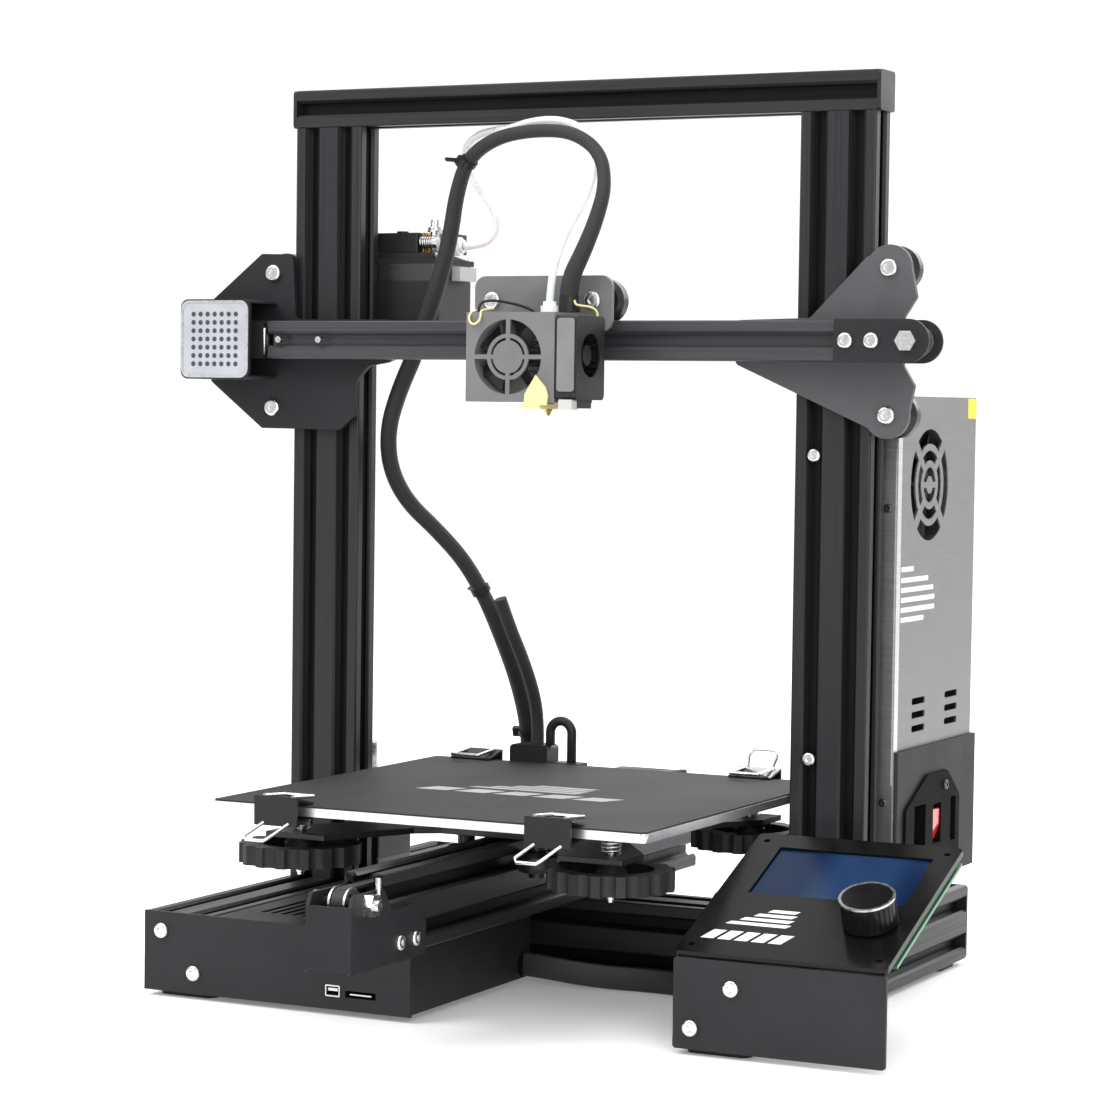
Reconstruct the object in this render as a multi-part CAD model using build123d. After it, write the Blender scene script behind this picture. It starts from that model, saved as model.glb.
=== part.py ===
from build123d import *
import math
import os

# A bed-slinger filament printer. Millimetres, X to the right, Y to the back, Z up.
# The origin is on the table, under the middle of the base, with y = 0 midway through the uprights.

# ---- driving dimensions ----
CELL = 20.0  # one cell of the slotted aluminium profile
FOOT_H = 3.0
RAIL_X = 145.0  # centre of each side rail and upright
RAIL_HALF_LEN = 150.0
RAIL_TOP = FOOT_H + 2 * CELL
POST_TOP = 446.0
BAR_TOP = POST_TOP + CELL
SHEET = 2.0  # thickness of folded sheet parts
PLATE = 3.0  # thickness of the roller plates
FIT = 0.3  # running gap between parts that turn on each other

SLOT_OPEN = 4.58  # half opening of a slot at the face
SLOT_NECK = 3.1
SLOT_LIP = 1.8
SLOT_ROOM = 5.5
SLOT_ROOM_DEPTH = 3.6
SLOT_FLOOR = 2.8
SLOT_DEPTH = 6.1
BORE_R = 2.1

WHEEL_R = 11.3
WHEEL_HALF_W = 5.1
WHEEL_RIM = 2.75  # half width of the rim that enters the slot
WHEEL_OFF = 9.9  # from a profile's face to a wheel's axis
AXLE_R = 2.5

BELT_HALF_W = 3.0
BELT_PITCH_R = 6.35
BELT_HALF_T = 0.7

MOTOR = 42.3  # side of a stepper motor
MOTOR_LEN = 40.0
MOTOR_SHORT = 36.0

# gantry
GANTRY_Z = 332.3  # centre of the X profile
X_PROF_Y = -25.5
X_PROF_LEFT = -166.4
X_PROF_RIGHT = 183.6
PLATE_BACK = -12.5
X_MOTOR_X = -193.5
X_IDLER_X = 193.0
Z_WHEEL_RISE = 36.0  # from the gantry's centre to the outer wheels
LEAD_X = -145.0
LEAD_Y = 33.0
SHELF_Z = 374.0
EXTRUDER_X = -110.85
EXTRUDER_Y = 31.65

# print head
HEAD_X = -1.0
HEAD_LEFT = -39.6
HEAD_RIGHT = 37.6
HEAD_WHEEL_DX = 28.3
NOZZLE_X = 10.0
NOZZLE_Y = -55.0
NOZZLE_TIP = 294.0
SHROUD_LEFT = -21.7
SHROUD_RIGHT = 27.6
SHROUD_FRONT = -85.0
SHROUD_LOW = 300.6
SHROUD_TOP = 345.0
FAN_X = 1.85
FAN_Z = 322.9
FAN_HOLE_R = 18.5
BLOWER_LEFT = 28.4
BLOWER_RIGHT = 40.0
BLOWER_Y = -69.5
BLOWER_Z = 324.0

# bed
BED_Y = -49.0
BED_HALF = 117.5
BED_LOW = 98.8
BED_TOP = 103.0
SURFACE_TOP = 103.8
CARRIER_LOW = 84.4
CARRIER_TOP = CARRIER_LOW + PLATE
KNOB_OFF = 85.0  # from the bed's centre to each levelling screw
KNOB_R = 30.6
KNOB_LOW = 71.4
KNOB_TOP = 84.0
KNOB_RIM = 9.8
Y_WHEEL_DY = 32.0

# Y drive
Y_PROF_FRONT = -221.0
Y_PROF_REAR = 139.5
Y_AXLE_Z = 71.6
Y_IDLER_Y = -239.0
Y_PULLEY_Y = 150.0
Y_TOP_SLOT_Z = RAIL_TOP + 1.5 * CELL

# display
LCD_X0 = 126.0
LCD_X1 = 230.0
LCD_Y = -152.0
LCD_Z = 48.5
LCD_TILT = 22.4
LCD_LEN = 112.0
KNOB_X = 209.5
KNOB_S = 37.0

# power supply
PSU_X0 = 120.6
PSU_X1 = 170.6
PSU_Y0 = 14.0
PSU_Y1 = 134.0
PSU_Z0 = 110.0  # the case ends inside its lower cover
PSU_Z1 = 306.0
PSU_LIP_LOW = 62.0  # the case's front sheet reaches down over its cover
PSU_WALL = 1.2
PSU_FAN_Y = 62.0
PSU_FAN_Z = 261.0
COVER_TOP = 127.5
COVER_LOW = 57.5
ROCKER_Y = 73.0
INLET_Y = 47.0
INLET_Z = 86.0
FUSE_Y = 98.0
PIVOT_R = 1.6
ROCKER_PIVOT_X = 167.0
ROCKER_REST_DEG = 9.0

# cords
LOOM_R = 4.0
TUBE_R = 2.0
BED_CABLE_R = 3.5
LCD_CABLE_R = 6.2

LOOM_LOOP_ROUTE = [
    (18.5, -50.5, 352), (18.5, -50.5, 362), (25, -48.6, 376), (30.5, -45, 392.5), (33, -40, 410),
    (26.5, -33, 427), (8.5, -27.5, 438), (-15, -22.5, 440), (-40, -18, 437.5), (-60, -12, 427.5),
    (-69, -7, 409.5), (-73.5, -4, 389.5), (-80, -2, 368), (-87.5, -2, 347),
]
LOOM_LOWER_ROUTE = [
    (-87.5, -2, 347), (-94.7, -2, 326.84), (-106, 0, 306), (-115, 4, 285), (-117, 11, 264),
    (-110.5, 19, 246), (-97.5, 28, 231.5), (-85, 38.5, 214), (-77.5, 49.5, 193), (-73, 61, 171),
    (-70.5, 75, 148), (-70.5, 88, 124), (-71.5, 93.5, 101), (-71, 89.5, 80), (-69.5, 75, 63.5),
    (-68, 54, 55), (-66.5, 33, 52), (-65.5, 11, 50.8), (-65, -10, 50), (-65, -29, 50),
]
BOWDEN_ROUTE = [
    (-84, 31, 384), (-75, 31, 384.3), (-66, 30.4, 388), (-62.5, 28.6, 397), (-66, 25.5, 407), (-72.5, 21, 416.5),
    (-76, 15, 427), (-71.5, 8, 436), (-61, 2, 441), (-48, -3.2, 442.4), (-36, -8.6, 442.6), (-24, -14, 445),
    (-7, -16.2, 446), (8, -17.8, 441.6), (17.5, -20.5, 431.5), (21, -27, 417.5), (18.5, -35, 402), (13, -43, 387),
    (11, -50, 373.5), (10.2, -54, 362), (10, -55, 351),
]
BED_CABLE_ROUTE = [
    (-68, 47.5, 194), (-65, 53, 179), (-61.5, 60, 164), (-59, 67, 149), (-58, 73, 135), (-58, 75.5, 122.5),
    (-58, 75.5, 112.5),
]
LCD_CABLE_ROUTE = [
    (-12.2, -30, 11.2), (1, -29, 10.4), (16, -26, 8.4), (33, -21.5, 7), (51, -18, 6.7), (69, -18.5, 6.7),
    (86, -24, 7.2), (99, -34, 11), (105.5, -46, 19), (108, -58, 31), (109.5, -68, 43.5), (113, -74.5, 54),
    (120, -78.7, 62.2), (131, -78.7, 62.2),
]


# ---- helpers ----
def block(x0, x1, y0, y1, z0, z1):
    middle = Pos((x0 + x1) / 2, (y0 + y1) / 2, (z0 + z1) / 2)
    return middle * Box(x1 - x0, y1 - y0, z1 - z0)


def rod_x(r, x0, x1, y, z):
    return Pos((x0 + x1) / 2, y, z) * Rot(0, 90, 0) * Cylinder(r, x1 - x0)


def rod_y(r, y0, y1, x, z):
    return Pos(x, (y0 + y1) / 2, z) * Rot(90, 0, 0) * Cylinder(r, y1 - y0)


def rod_z(r, z0, z1, x, y):
    return Pos(x, y, (z0 + z1) / 2) * Cylinder(r, z1 - z0)


def outline(points, radius=0.0):
    face = make_face(Polyline(*points, close=True))
    if radius:
        face = fillet(face.vertices(), radius)
    return face


def sheet_xz(sketch, y0, y1):
    """A plate that stands across the machine, its sketch drawn in X and Z."""
    return extrude(Plane.XZ.offset(-y1) * sketch, y1 - y0)


def sheet_yz(sketch, x0, x1):
    """A plate that stands along the machine, its sketch drawn in Y and Z."""
    return extrude(Plane.YZ.offset(x0) * sketch, x1 - x0)


def sheet_xy(sketch, z0, z1):
    return extrude(Plane.XY.offset(z0) * sketch, z1 - z0)


def one(solids):
    """Separate solids kept together in one node."""
    return Compound(children=list(solids))


def slot_shape():
    """The outline of one T-slot, opening upwards at y = 0."""
    half = [
        (SLOT_OPEN, 0.2), (SLOT_OPEN, 0), (SLOT_NECK, SLOT_NECK - SLOT_OPEN), (SLOT_NECK, -SLOT_LIP),
        (SLOT_ROOM, -SLOT_LIP), (SLOT_ROOM, -SLOT_ROOM_DEPTH), (SLOT_FLOOR, -SLOT_DEPTH),
    ]
    other = [(-x, y) for x, y in reversed(half)]
    return outline(half + other)


def profile(across, up, cavity=0.0):
    """A slotted profile of so many cells, centred on its own axis."""
    wide = across * CELL
    tall = up * CELL
    section = RectangleRounded(wide, tall, 1.0)
    slot = slot_shape()
    for i in range(across):
        x = (i - (across - 1) / 2) * CELL
        section -= Pos(x, tall / 2) * slot
        section -= Pos(x, -tall / 2) * Rot(0, 0, 180) * slot
    for j in range(up):
        y = (j - (up - 1) / 2) * CELL
        section -= Pos(-wide / 2, y) * Rot(0, 0, 90) * slot
        section -= Pos(wide / 2, y) * Rot(0, 0, -90) * slot
        for i in range(across):
            section -= Pos((i - (across - 1) / 2) * CELL, y) * Circle(BORE_R)
    if cavity:
        section -= Rectangle(8.0, cavity)
    return section


def bar_x(section, x0, x1, y, z):
    return extrude(Plane.YZ.offset(x0) * Pos(y, z) * section, x1 - x0)


def bar_y(section, y0, y1, x, z):
    return extrude(Plane.XZ.offset(-y1) * Pos(x, z) * section, y1 - y0)


def bar_z(section, z0, z1, x, y):
    return extrude(Plane.XY.offset(z0) * Pos(x, y) * section, z1 - z0)


def button_head(r, height, socket):
    """A domed screw head that stands on z = 0, with a hexagon socket."""
    head = Pos(0, 0, height / 2) * Cylinder(r, height)
    head = fillet(head.edges().sort_by(Axis.Z)[-1:], height * 0.6)
    hexagon = extrude(Plane.XY.offset(height * 0.4) * RegularPolygon(socket, 6), height)
    return head - hexagon


def head_front(x, y, z, r=4.0, height=2.2):
    """A screw head that faces the front."""
    return Pos(x, y, z) * Rot(90, 0, 0) * button_head(r, height, r * 0.5)


def head_right(x, y, z, r=4.0, height=2.2):
    """A screw head that faces right."""
    return Pos(x, y, z) * Rot(0, 90, 0) * button_head(r, height, r * 0.5)


def wheel():
    """A V wheel about Z, centred."""
    shoulder = WHEEL_R - (WHEEL_HALF_W - WHEEL_RIM)
    inner = AXLE_R + FIT
    half = [
        (inner, -WHEEL_HALF_W), (shoulder, -WHEEL_HALF_W), (WHEEL_R, -WHEEL_RIM),
        (WHEEL_R, WHEEL_RIM), (shoulder, WHEEL_HALF_W), (inner, WHEEL_HALF_W),
    ]
    ring = revolve(Plane.XZ * outline(half), Axis.Z)
    groove = Pos(0, 0, WHEEL_HALF_W) * (Cylinder(7.6, 1.4) - Cylinder(4.6, 1.4))
    return ring - groove - Pos(0, 0, -2 * WHEEL_HALF_W) * groove


def motor(length):
    """A stepper motor about Z, its mounting face at z = 0 and its body below."""
    body = extrude(Plane.XY.offset(-length) * RectangleRounded(MOTOR, MOTOR, 4.0), length)
    for z in (-9.0, 9.0 - length):
        body -= Pos(0, 0, z) * (Box(MOTOR + 1, MOTOR + 1, 0.6) - Box(MOTOR - 1, MOTOR - 1, 0.6))
    for x in (-15.5, 15.5):
        for y in (-15.5, 15.5):
            body -= Pos(x, y, -2) * Cylinder(1.5, 4.2)
    return body


def pulley(half_w, axle_r):
    """A belt pulley about Z, with a flange on each side of the belt."""
    drum = Cylinder(BELT_PITCH_R - BELT_HALF_T - FIT, 2 * half_w)
    flange_t = 1.0
    for side in (-1, 1):
        drum += Pos(0, 0, side * (half_w - flange_t / 2)) * Cylinder(7.4, flange_t)
    return drum - Cylinder(axle_r, 4 * half_w)


def belt_loop(span):
    """A closed belt in its own plane, centred, its axles a span apart."""
    outside = SlotCenterToCenter(span, 2 * (BELT_PITCH_R + BELT_HALF_T))
    inside = SlotCenterToCenter(span, 2 * (BELT_PITCH_R - BELT_HALF_T))
    return outside - inside


def fan_rotor(hub_r, blade_r, half_w, count):
    """A fan about Z: a hub and slanted blades."""
    rotor = Cylinder(hub_r, 2 * half_w)
    blade_len = blade_r - hub_r + 1.5
    for i in range(count):
        blade = Pos(hub_r - 1.5 + blade_len / 2, 0, 0) * Rot(38, 0, 0) * Box(blade_len, half_w * 2.2, 0.9)
        rotor += Rot(0, 0, 360 * i / count) * blade
    return rotor & Cylinder(blade_r, 2 * half_w)


def cord(route, r, name):
    """A round cord along straight runs joined by arcs as large as the runs allow."""
    points = [Vector(*p) for p in route]
    runs = [b - a for a, b in zip(points, points[1:])]
    radii = []
    for a, b in zip(runs, runs[1:]):
        half_turn = math.radians(a.get_angle(b)) / 2
        radii.append(0.45 * min(a.length, b.length) / math.tan(half_turn))
    path = FilletPolyline(*points, radius=radii)
    start = Plane(origin=path @ 0, z_dir=path % 0)
    tube = sweep(start * Circle(r), path=path)
    by_hand = math.pi * r * r * path.length
    print(f"{name}: length {path.length:.1f}, smallest radius {min(radii):.1f} ({min(radii) / (2 * r):.1f} "
          f"diameters), volume / (section x length) {tube.volume / by_hand:.4f}")
    print("   radii", [round(v) for v in radii], "runs", [round(v.length, 1) for v in runs])
    return tube


# ---- frame ----
def base_rails():
    rail = profile(2, 2)
    middle_z = FOOT_H + CELL
    parts = [bar_y(rail, -RAIL_HALF_LEN, RAIL_HALF_LEN, side * RAIL_X, middle_z) for side in (-1, 1)]
    inner = RAIL_X - CELL
    parts.append(bar_x(rail, -inner, inner, 18.0, middle_z))
    return one(parts)


def y_profile():
    return bar_y(profile(1, 2, cavity=7.0), Y_PROF_FRONT, Y_PROF_REAR, 0, RAIL_TOP + CELL)


def uprights():
    post = profile(2, 1)
    return one(bar_z(post, RAIL_TOP, POST_TOP, side * RAIL_X, 0) for side in (-1, 1))


def top_bar():
    half = RAIL_X + CELL
    return bar_x(profile(1, 1), -half, half, 0, POST_TOP + CELL / 2)


def end_caps():
    """Caps on the open ends of the profiles, and the four feet."""
    end_x = RAIL_X + CELL
    pieces = []
    for side in (-1, 1):
        cap = extrude(Plane.YZ.offset(0) * Pos(0, POST_TOP + CELL / 2) * RectangleRounded(CELL, CELL, 2), SHEET)
        pieces.append(Pos(side * end_x - (SHEET if side < 0 else 0), 0, 0) * cap)
        rear = RectangleRounded(2 * CELL, 2 * CELL, 2)
        pieces.append(sheet_xz(Pos(side * RAIL_X, FOOT_H + CELL) * rear, RAIL_HALF_LEN, RAIL_HALF_LEN + SHEET))
        for y in (-132, 132):
            pieces.append(extrude(Pos(side * RAIL_X, y, 0) * RectangleRounded(32, 26, 5), FOOT_H))
    return one(pieces)


def electronics_case():
    left = -123.5
    right = -12.5
    rear = -22.0
    front = -RAIL_HALF_LEN
    wall = 1.5
    low = 4.0
    case = block(left, right, front, rear, low, RAIL_TOP)
    case -= block(left + wall, right - wall, front - 1, rear - wall, low + wall, RAIL_TOP - wall)
    case += block(-RAIL_X - CELL, right, front - SHEET, front, FOOT_H, RAIL_TOP)
    for i in range(9):
        x = -112 + 6.0 * i
        case -= block(x, x + 3.0, -128, -84, RAIL_TOP - 3, RAIL_TOP + 1)
    case -= block(-59.5, -51.5, front - 3, front + 1, 9.5, 15.0)
    case -= block(-48.5, -31.5, front - 3, front + 1, 9.5, 13.0)
    hood = block(-73.5, -56.5, -33, rear, RAIL_TOP - wall, RAIL_TOP + 15)
    case += fillet(hood.edges().filter_by(Axis.Y).sort_by(Axis.Z)[-2:], 6.0)
    return case - rod_y(LOOM_R + FIT, -29, rear + 1, -65, RAIL_TOP + 7) - lcd_cable_hole()


def lcd_cable_hole():
    _, y, z = LCD_CABLE_ROUTE[0]
    return rod_x(LCD_CABLE_R + FIT, -15, -11, y, z)


def y_tensioner():
    """A folded bracket over the front end of the Y profile, with the idler's axle."""
    side = [(-253, 41), (-182, 41), (-182, 57), (-197, 66), (-215, 66), (-223, 77), (-250, 77), (-253, 71.5)]
    half = CELL / 2
    bracket = sheet_yz(outline(side, 1.0), half, half + SHEET)
    bracket += sheet_yz(outline(side, 1.0), -half - SHEET, -half)
    bracket += block(-half - 1, half + 1, -253, -251, 41.5, 71.5)
    bracket += block(-half - 1, half + 1, -252, Y_PROF_FRONT - 0.5, 41, 43)
    for y in (-208, -193):
        bracket -= rod_x(2.2, -half - 3, half + 3, y, 50)
    axle = rod_x(AXLE_R, -half - SHEET, half + SHEET + 7, Y_IDLER_Y, Y_AXLE_Z)
    nut = sheet_yz(Pos(Y_IDLER_Y, Y_AXLE_Z) * RegularPolygon(5.6, 6), half + SHEET, half + SHEET + 5)
    bolt_head = rod_x(5, -half - SHEET - 3, -half - SHEET, Y_IDLER_Y, Y_AXLE_Z)
    pin = rod_z(1.3, 72.5, 83, half + SHEET + 1.4, Y_IDLER_Y + 8)
    bracket -= rod_x(AXLE_R, -half - 3, half + 3, Y_IDLER_Y, Y_AXLE_Z)
    return one([bracket, axle + nut + bolt_head, pin])


def y_belt():
    middle = (Y_IDLER_Y + Y_PULLEY_Y) / 2
    loop = Pos(middle, Y_AXLE_Z) * belt_loop(Y_PULLEY_Y - Y_IDLER_Y)
    return sheet_yz(loop, -BELT_HALF_W, BELT_HALF_W)


def frame_motors():
    """The Z motor on the left rail and the Y motor on its bracket behind the profile."""
    z_motor = Pos(LEAD_X, LEAD_Y, RAIL_TOP + MOTOR_LEN) * motor(MOTOR_LEN)
    z_motor += rod_z(11, RAIL_TOP + MOTOR_LEN, RAIL_TOP + MOTOR_LEN + 2, LEAD_X, LEAD_Y)
    plate_x = -CELL / 2 - PLATE
    y_motor = Pos(plate_x, Y_PULLEY_Y, Y_AXLE_Z) * Rot(0, 90, 0) * motor(MOTOR_SHORT)
    bracket = sheet_yz(outline([(106, 46), (171, 50), (171, 93), (130, 93), (106, 80)], 2), plate_x, -CELL / 2)
    bracket -= rod_x(11, plate_x - 1, 0, Y_PULLEY_Y, Y_AXLE_Z)
    return one([z_motor, y_motor, bracket])


def on_panel(shape):
    """Places a shape drawn with x across, y up the slope and z out of the display panel."""
    return Pos(0, LCD_Y, LCD_Z) * Rot(LCD_TILT, 0, 0) * shape


def lcd_bracket():
    front = block(LCD_X0, LCD_X1, LCD_Y, LCD_Y + SHEET, FOOT_H, LCD_Z - 3.0)
    front = fillet(front.edges().filter_by(Axis.Y), 1.5)
    gusset = [(-150, 8), (-128, 8), (-66, 68), (-66, 73), (-133, 45.5), (-150, 45.5)]
    rib_x = RAIL_X + CELL + 1
    rib = sheet_yz(outline(gusset, 1.0), rib_x, rib_x + SHEET)
    tray = block(LCD_X0 + 5, LCD_X1 - 6, 20, 104, -11.8, -10.3) - block(LCD_X0, 149, 63, 83, -12, -10)
    return front + rib + on_panel(tray)


def lcd_panel():
    panel = block(LCD_X0, LCD_X1, 0, LCD_LEN, -3, 0)
    panel = fillet(panel.edges().filter_by(Axis.Z), 3.0)
    panel -= block(141, 219, 56, 100, -4, 1)
    panel -= rod_z(4.0, -4, 1, KNOB_X, KNOB_S)
    for x in (LCD_X0 + 6, LCD_X1 - 6):
        for s in (7, LCD_LEN - 7):
            panel -= rod_z(1.6, -4, 1, x, s)
    return on_panel(panel)


def lcd_board():
    board = block(LCD_X0 + 3, LCD_X1 - 1, 15, LCD_LEN - 2, -8.6, -7.0)
    encoder = block(KNOB_X - 6.5, KNOB_X + 6.5, KNOB_S - 6.5, KNOB_S + 6.5, -7.0, -4.4)
    buzzer = rod_z(5, -7.0, -3.4, 150, 34)
    header = block(170, 190, 26, 33, -7.0, -4.0)
    posts = []
    for x in (LCD_X0 + 8, LCD_X1 - 9):
        for s in (24, LCD_LEN - 10):
            posts.append(rod_z(2.5, -10.3, -8.6, x, s))
    pieces = board + encoder + buzzer + header
    for post in posts:
        pieces += post
    plug = block(131, 147, 66, 80, -22.0, -8.6)
    return on_panel(pieces + plug)


def lcd_screen():
    module = block(136, 224, 50, 105, -6.9, -3.1)
    glass = block(141.4, 218.6, 56.4, 99.6, -3.2, -1.2)
    return on_panel(module + glass)


def arc_slots(inner, outer, count, arm_w, first_deg):
    """A ring cut into arcs by straight arms, drawn about the origin."""
    ring = Circle(outer) - Circle(inner)
    for i in range(count):
        ring -= Rot(0, 0, 360 * i / count + first_deg) * Pos(outer / 2, 0) * Rectangle(outer + 4, arm_w)
    return ring


def psu_case():
    case = block(PSU_X0, PSU_X1, PSU_Y0, PSU_Y1, PSU_Z0, PSU_Z1)
    case = fillet(case.edges().filter_by(Axis.Z), 1.0)
    w = PSU_WALL
    case -= block(PSU_X0 + w, PSU_X1 - w, PSU_Y0 + w, PSU_Y1 - w, PSU_Z0 - 1, PSU_Z1 - w)
    grille = arc_slots(21.0, 28.5, 4, 6.0, 45) + arc_slots(12.5, 17.5, 4, 4.5, 45) + arc_slots(4.5, 9.0, 2, 3.0, 0)
    case -= sheet_yz(Pos(PSU_FAN_Y, PSU_FAN_Z) * grille, PSU_X1 - 3, PSU_X1 + 1)
    for y in (51, 101):
        for z in (137, 144, 151):
            case -= sheet_yz(Pos(y, z) * SlotOverall(20, 3.4), PSU_X1 - 3, PSU_X1 + 1)
    fan_frame = block(PSU_X1 - w - 12, PSU_X1 - w, PSU_FAN_Y - 31, PSU_FAN_Y + 31, PSU_FAN_Z - 31, PSU_FAN_Z + 31)
    fan_frame -= rod_x(29, PSU_X1 - w - 13, PSU_X1, PSU_FAN_Y, PSU_FAN_Z)
    strut = block(PSU_X1 - w - 12, PSU_X1 - w - 10, PSU_FAN_Y - 31, PSU_FAN_Y + 31, PSU_FAN_Z - 3, PSU_FAN_Z + 3)
    lip = block(PSU_X0, PSU_X1, PSU_Y0, PSU_Y0 + w, PSU_LIP_LOW, PSU_Z0 + 1)
    return case + fan_frame + strut + lip


def psu_cover():
    """The lower cover, with the mains inlet, the power switch's well and the fuse's slot in its right side."""
    out = 2.0
    gap = 0.5
    front = PSU_Y0 + PSU_WALL + gap
    cover = block(PSU_X0 - out, PSU_X1 + out, front, PSU_Y1 + 3, COVER_LOW, COVER_TOP)
    cover = fillet(cover.edges().filter_by(Axis.Z), 1.2)
    cover -= block(PSU_X0 - gap, PSU_X1 + gap, front + 1.5, PSU_Y1 + 1.5, COVER_LOW + 1.5, COVER_TOP + 1)
    cover -= block(PSU_X0 - gap, PSU_X1 + gap, front - 1, front + 2, PSU_Z0 - gap, COVER_TOP + 1)
    face = PSU_X1 + out
    flange = [(26, 66), (26, 97), (58, 112.5), (88, 112.5), (108, 98), (108, 66)]
    cover += sheet_yz(outline(flange, 3.0), face - 1, face + 1.5)
    socket = block(152, face, INLET_Y - 10.5, INLET_Y + 10.5, INLET_Z - 14.5, INLET_Z + 14.5)
    well = block(157.5, face, ROCKER_Y - 8, ROCKER_Y + 8, INLET_Z - 11.8, INLET_Z + 11.8)
    fuse = block(165, face, FUSE_Y - 5.5, FUSE_Y + 5.5, INLET_Z - 13, INLET_Z + 13)
    cover += socket + well + fuse
    cover -= block(154, face + 2, INLET_Y - 8.5, INLET_Y + 8.5, INLET_Z - 12, INLET_Z + 12)
    cover -= block(159, face + 2, ROCKER_Y - 6.2, ROCKER_Y + 6.2, INLET_Z - 10.3, INLET_Z + 10.3)
    cover -= block(167, face + 2, FUSE_Y - 4, FUSE_Y + 4, INLET_Z - 11.5, INLET_Z + 11.5)
    cover -= rod_y(PIVOT_R + 0.08, ROCKER_Y - 7.2, ROCKER_Y + 7.2, ROCKER_PIVOT_X, INLET_Z)
    for y, z in ((INLET_Y, INLET_Z + 4), (INLET_Y - 4, INLET_Z - 4), (INLET_Y + 4, INLET_Z - 4)):
        cover += block(153.5, 167, y - 1, y + 1, z - 2, z + 2)
    return cover


def frame_screws():
    """Screw heads that show on the frame."""
    front = LCD_Y
    heads = [head_front(x, front, z) for x, z in ((-154.6, 33.5), (-135.5, 13.5), (135, 13), (155, 33))]
    heads += [head_front(135.5, -CELL / 2, z, 3.4, 2.0) for z in (276, 124.5)]
    heads += [head_front(PSU_X1 - 4.5, PSU_Y0, z, 2.2, 1.4) for z in (250, 102)]
    heads.append(head_right(PSU_X1 + 3.5, 84, 105, 2.6, 1.6))
    heads += [head_right(CELL / 2 + SHEET, y, 50, 3.6, 2.0) for y in (-208, -193)]
    return one(heads)


# ---- parts that move on the frame ----
def lead_screw():
    """The screw with its coupler and the end of the motor's shaft."""
    base = RAIL_TOP + MOTOR_LEN + 2 + FIT
    screw = rod_z(4.0, 100, 438, LEAD_X, LEAD_Y)
    coupler = rod_z(9.5, 88.5, 113, LEAD_X, LEAD_Y)
    coupler -= rod_z(11, 100, 101, LEAD_X, LEAD_Y) - rod_z(7.5, 100, 101, LEAD_X, LEAD_Y)
    shaft = rod_z(AXLE_R, base, 90, LEAD_X, LEAD_Y)
    return screw + coupler + shaft


def y_pulley():
    wheel_part = Pos(0, Y_PULLEY_Y, Y_AXLE_Z) * Rot(0, 90, 0) * pulley(4.5, 1.0)
    return wheel_part + rod_x(AXLE_R, -9.5, 6.0, Y_PULLEY_Y, Y_AXLE_Z)


def y_idler():
    return Pos(0, Y_IDLER_Y, Y_AXLE_Z) * Rot(0, 90, 0) * pulley(4.5, AXLE_R + FIT)


def psu_fan():
    x = PSU_X1 - PSU_WALL - 5.2
    return Pos(x, PSU_FAN_Y, PSU_FAN_Z) * Rot(0, 90, 0) * fan_rotor(11, 27.5, 4.0, 7)


def encoder_shaft():
    return on_panel(rod_z(3.0, -3.6, 11, KNOB_X, KNOB_S))


def encoder_knob():
    knob = rod_z(13, 1.4, 15, KNOB_X, KNOB_S)
    knob = chamfer(knob.edges().sort_by(Axis.Z)[-1:], 0.8)
    for i in range(30):
        angle = math.radians(12 * i)
        knob -= rod_z(0.45, 2.5, 13.5, KNOB_X + 13.1 * math.cos(angle), KNOB_S + 13.1 * math.sin(angle))
    return on_panel(knob - rod_z(3.0 + FIT, 0, 11.5, KNOB_X, KNOB_S))


def power_rocker():
    """The switch's rocker, resting on its lower half."""
    half = [(-4.5, -6.2), (5.2, -8.4), (6.4, 0), (5.2, 8.4), (-4.5, 6.2)]
    rocker = sheet_xz(outline(half, 0.5), ROCKER_Y - 5.6, ROCKER_Y + 5.6)
    rocker += rod_y(PIVOT_R, ROCKER_Y - 7, ROCKER_Y + 7, 0, 0)
    return Pos(ROCKER_PIVOT_X, 0, INLET_Z) * Rot(0, ROCKER_REST_DEG, 0) * rocker


# ---- gantry ----
def gantry_plates():
    y0 = PLATE_BACK - PLATE
    left = [
        (-182.6, 378.8), (-163.2, 378.4), (-161, 343.5), (-103.5, 343.5), (-103.5, 321), (-116, 318.9),
        (-124, 310.5), (-124, 293), (-133.1, 284.8), (-181.7, 285.1), (-214.3, 310.2), (-213.5, 354.2),
    ]
    plate_l = sheet_xz(outline(left, 2.5), y0, PLATE_BACK)
    plate_l -= rod_y(12, y0 - 1, PLATE_BACK + 1, X_MOTOR_X, GANTRY_Z)
    right = [
        (94.5, 321), (94.5, 343), (134, 344), (163, 373.5), (175, 379.5), (185.5, 373), (189.4, 354),
        (183, 344), (183, 321), (189, 311), (185, 292), (174, 285.7), (163, 291),
    ]
    lobes = outline(right, 2.5)
    for z in (GANTRY_Z + Z_WHEEL_RISE, GANTRY_Z - Z_WHEEL_RISE):
        lobes += Pos(RAIL_X + CELL + WHEEL_OFF, z) * Circle(11.5)
    plate_r = sheet_xz(lobes, y0, PLATE_BACK)
    for x, z in z_wheel_spots():
        hole = rod_y(AXLE_R + 0.1, y0 - 1, PLATE_BACK + 1, x, z)
        plate_l -= hole
        plate_r -= hole
    return one([plate_l, plate_r])


def x_profile():
    return bar_x(profile(1, 1), X_PROF_LEFT, X_PROF_RIGHT, X_PROF_Y, GANTRY_Z)


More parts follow.
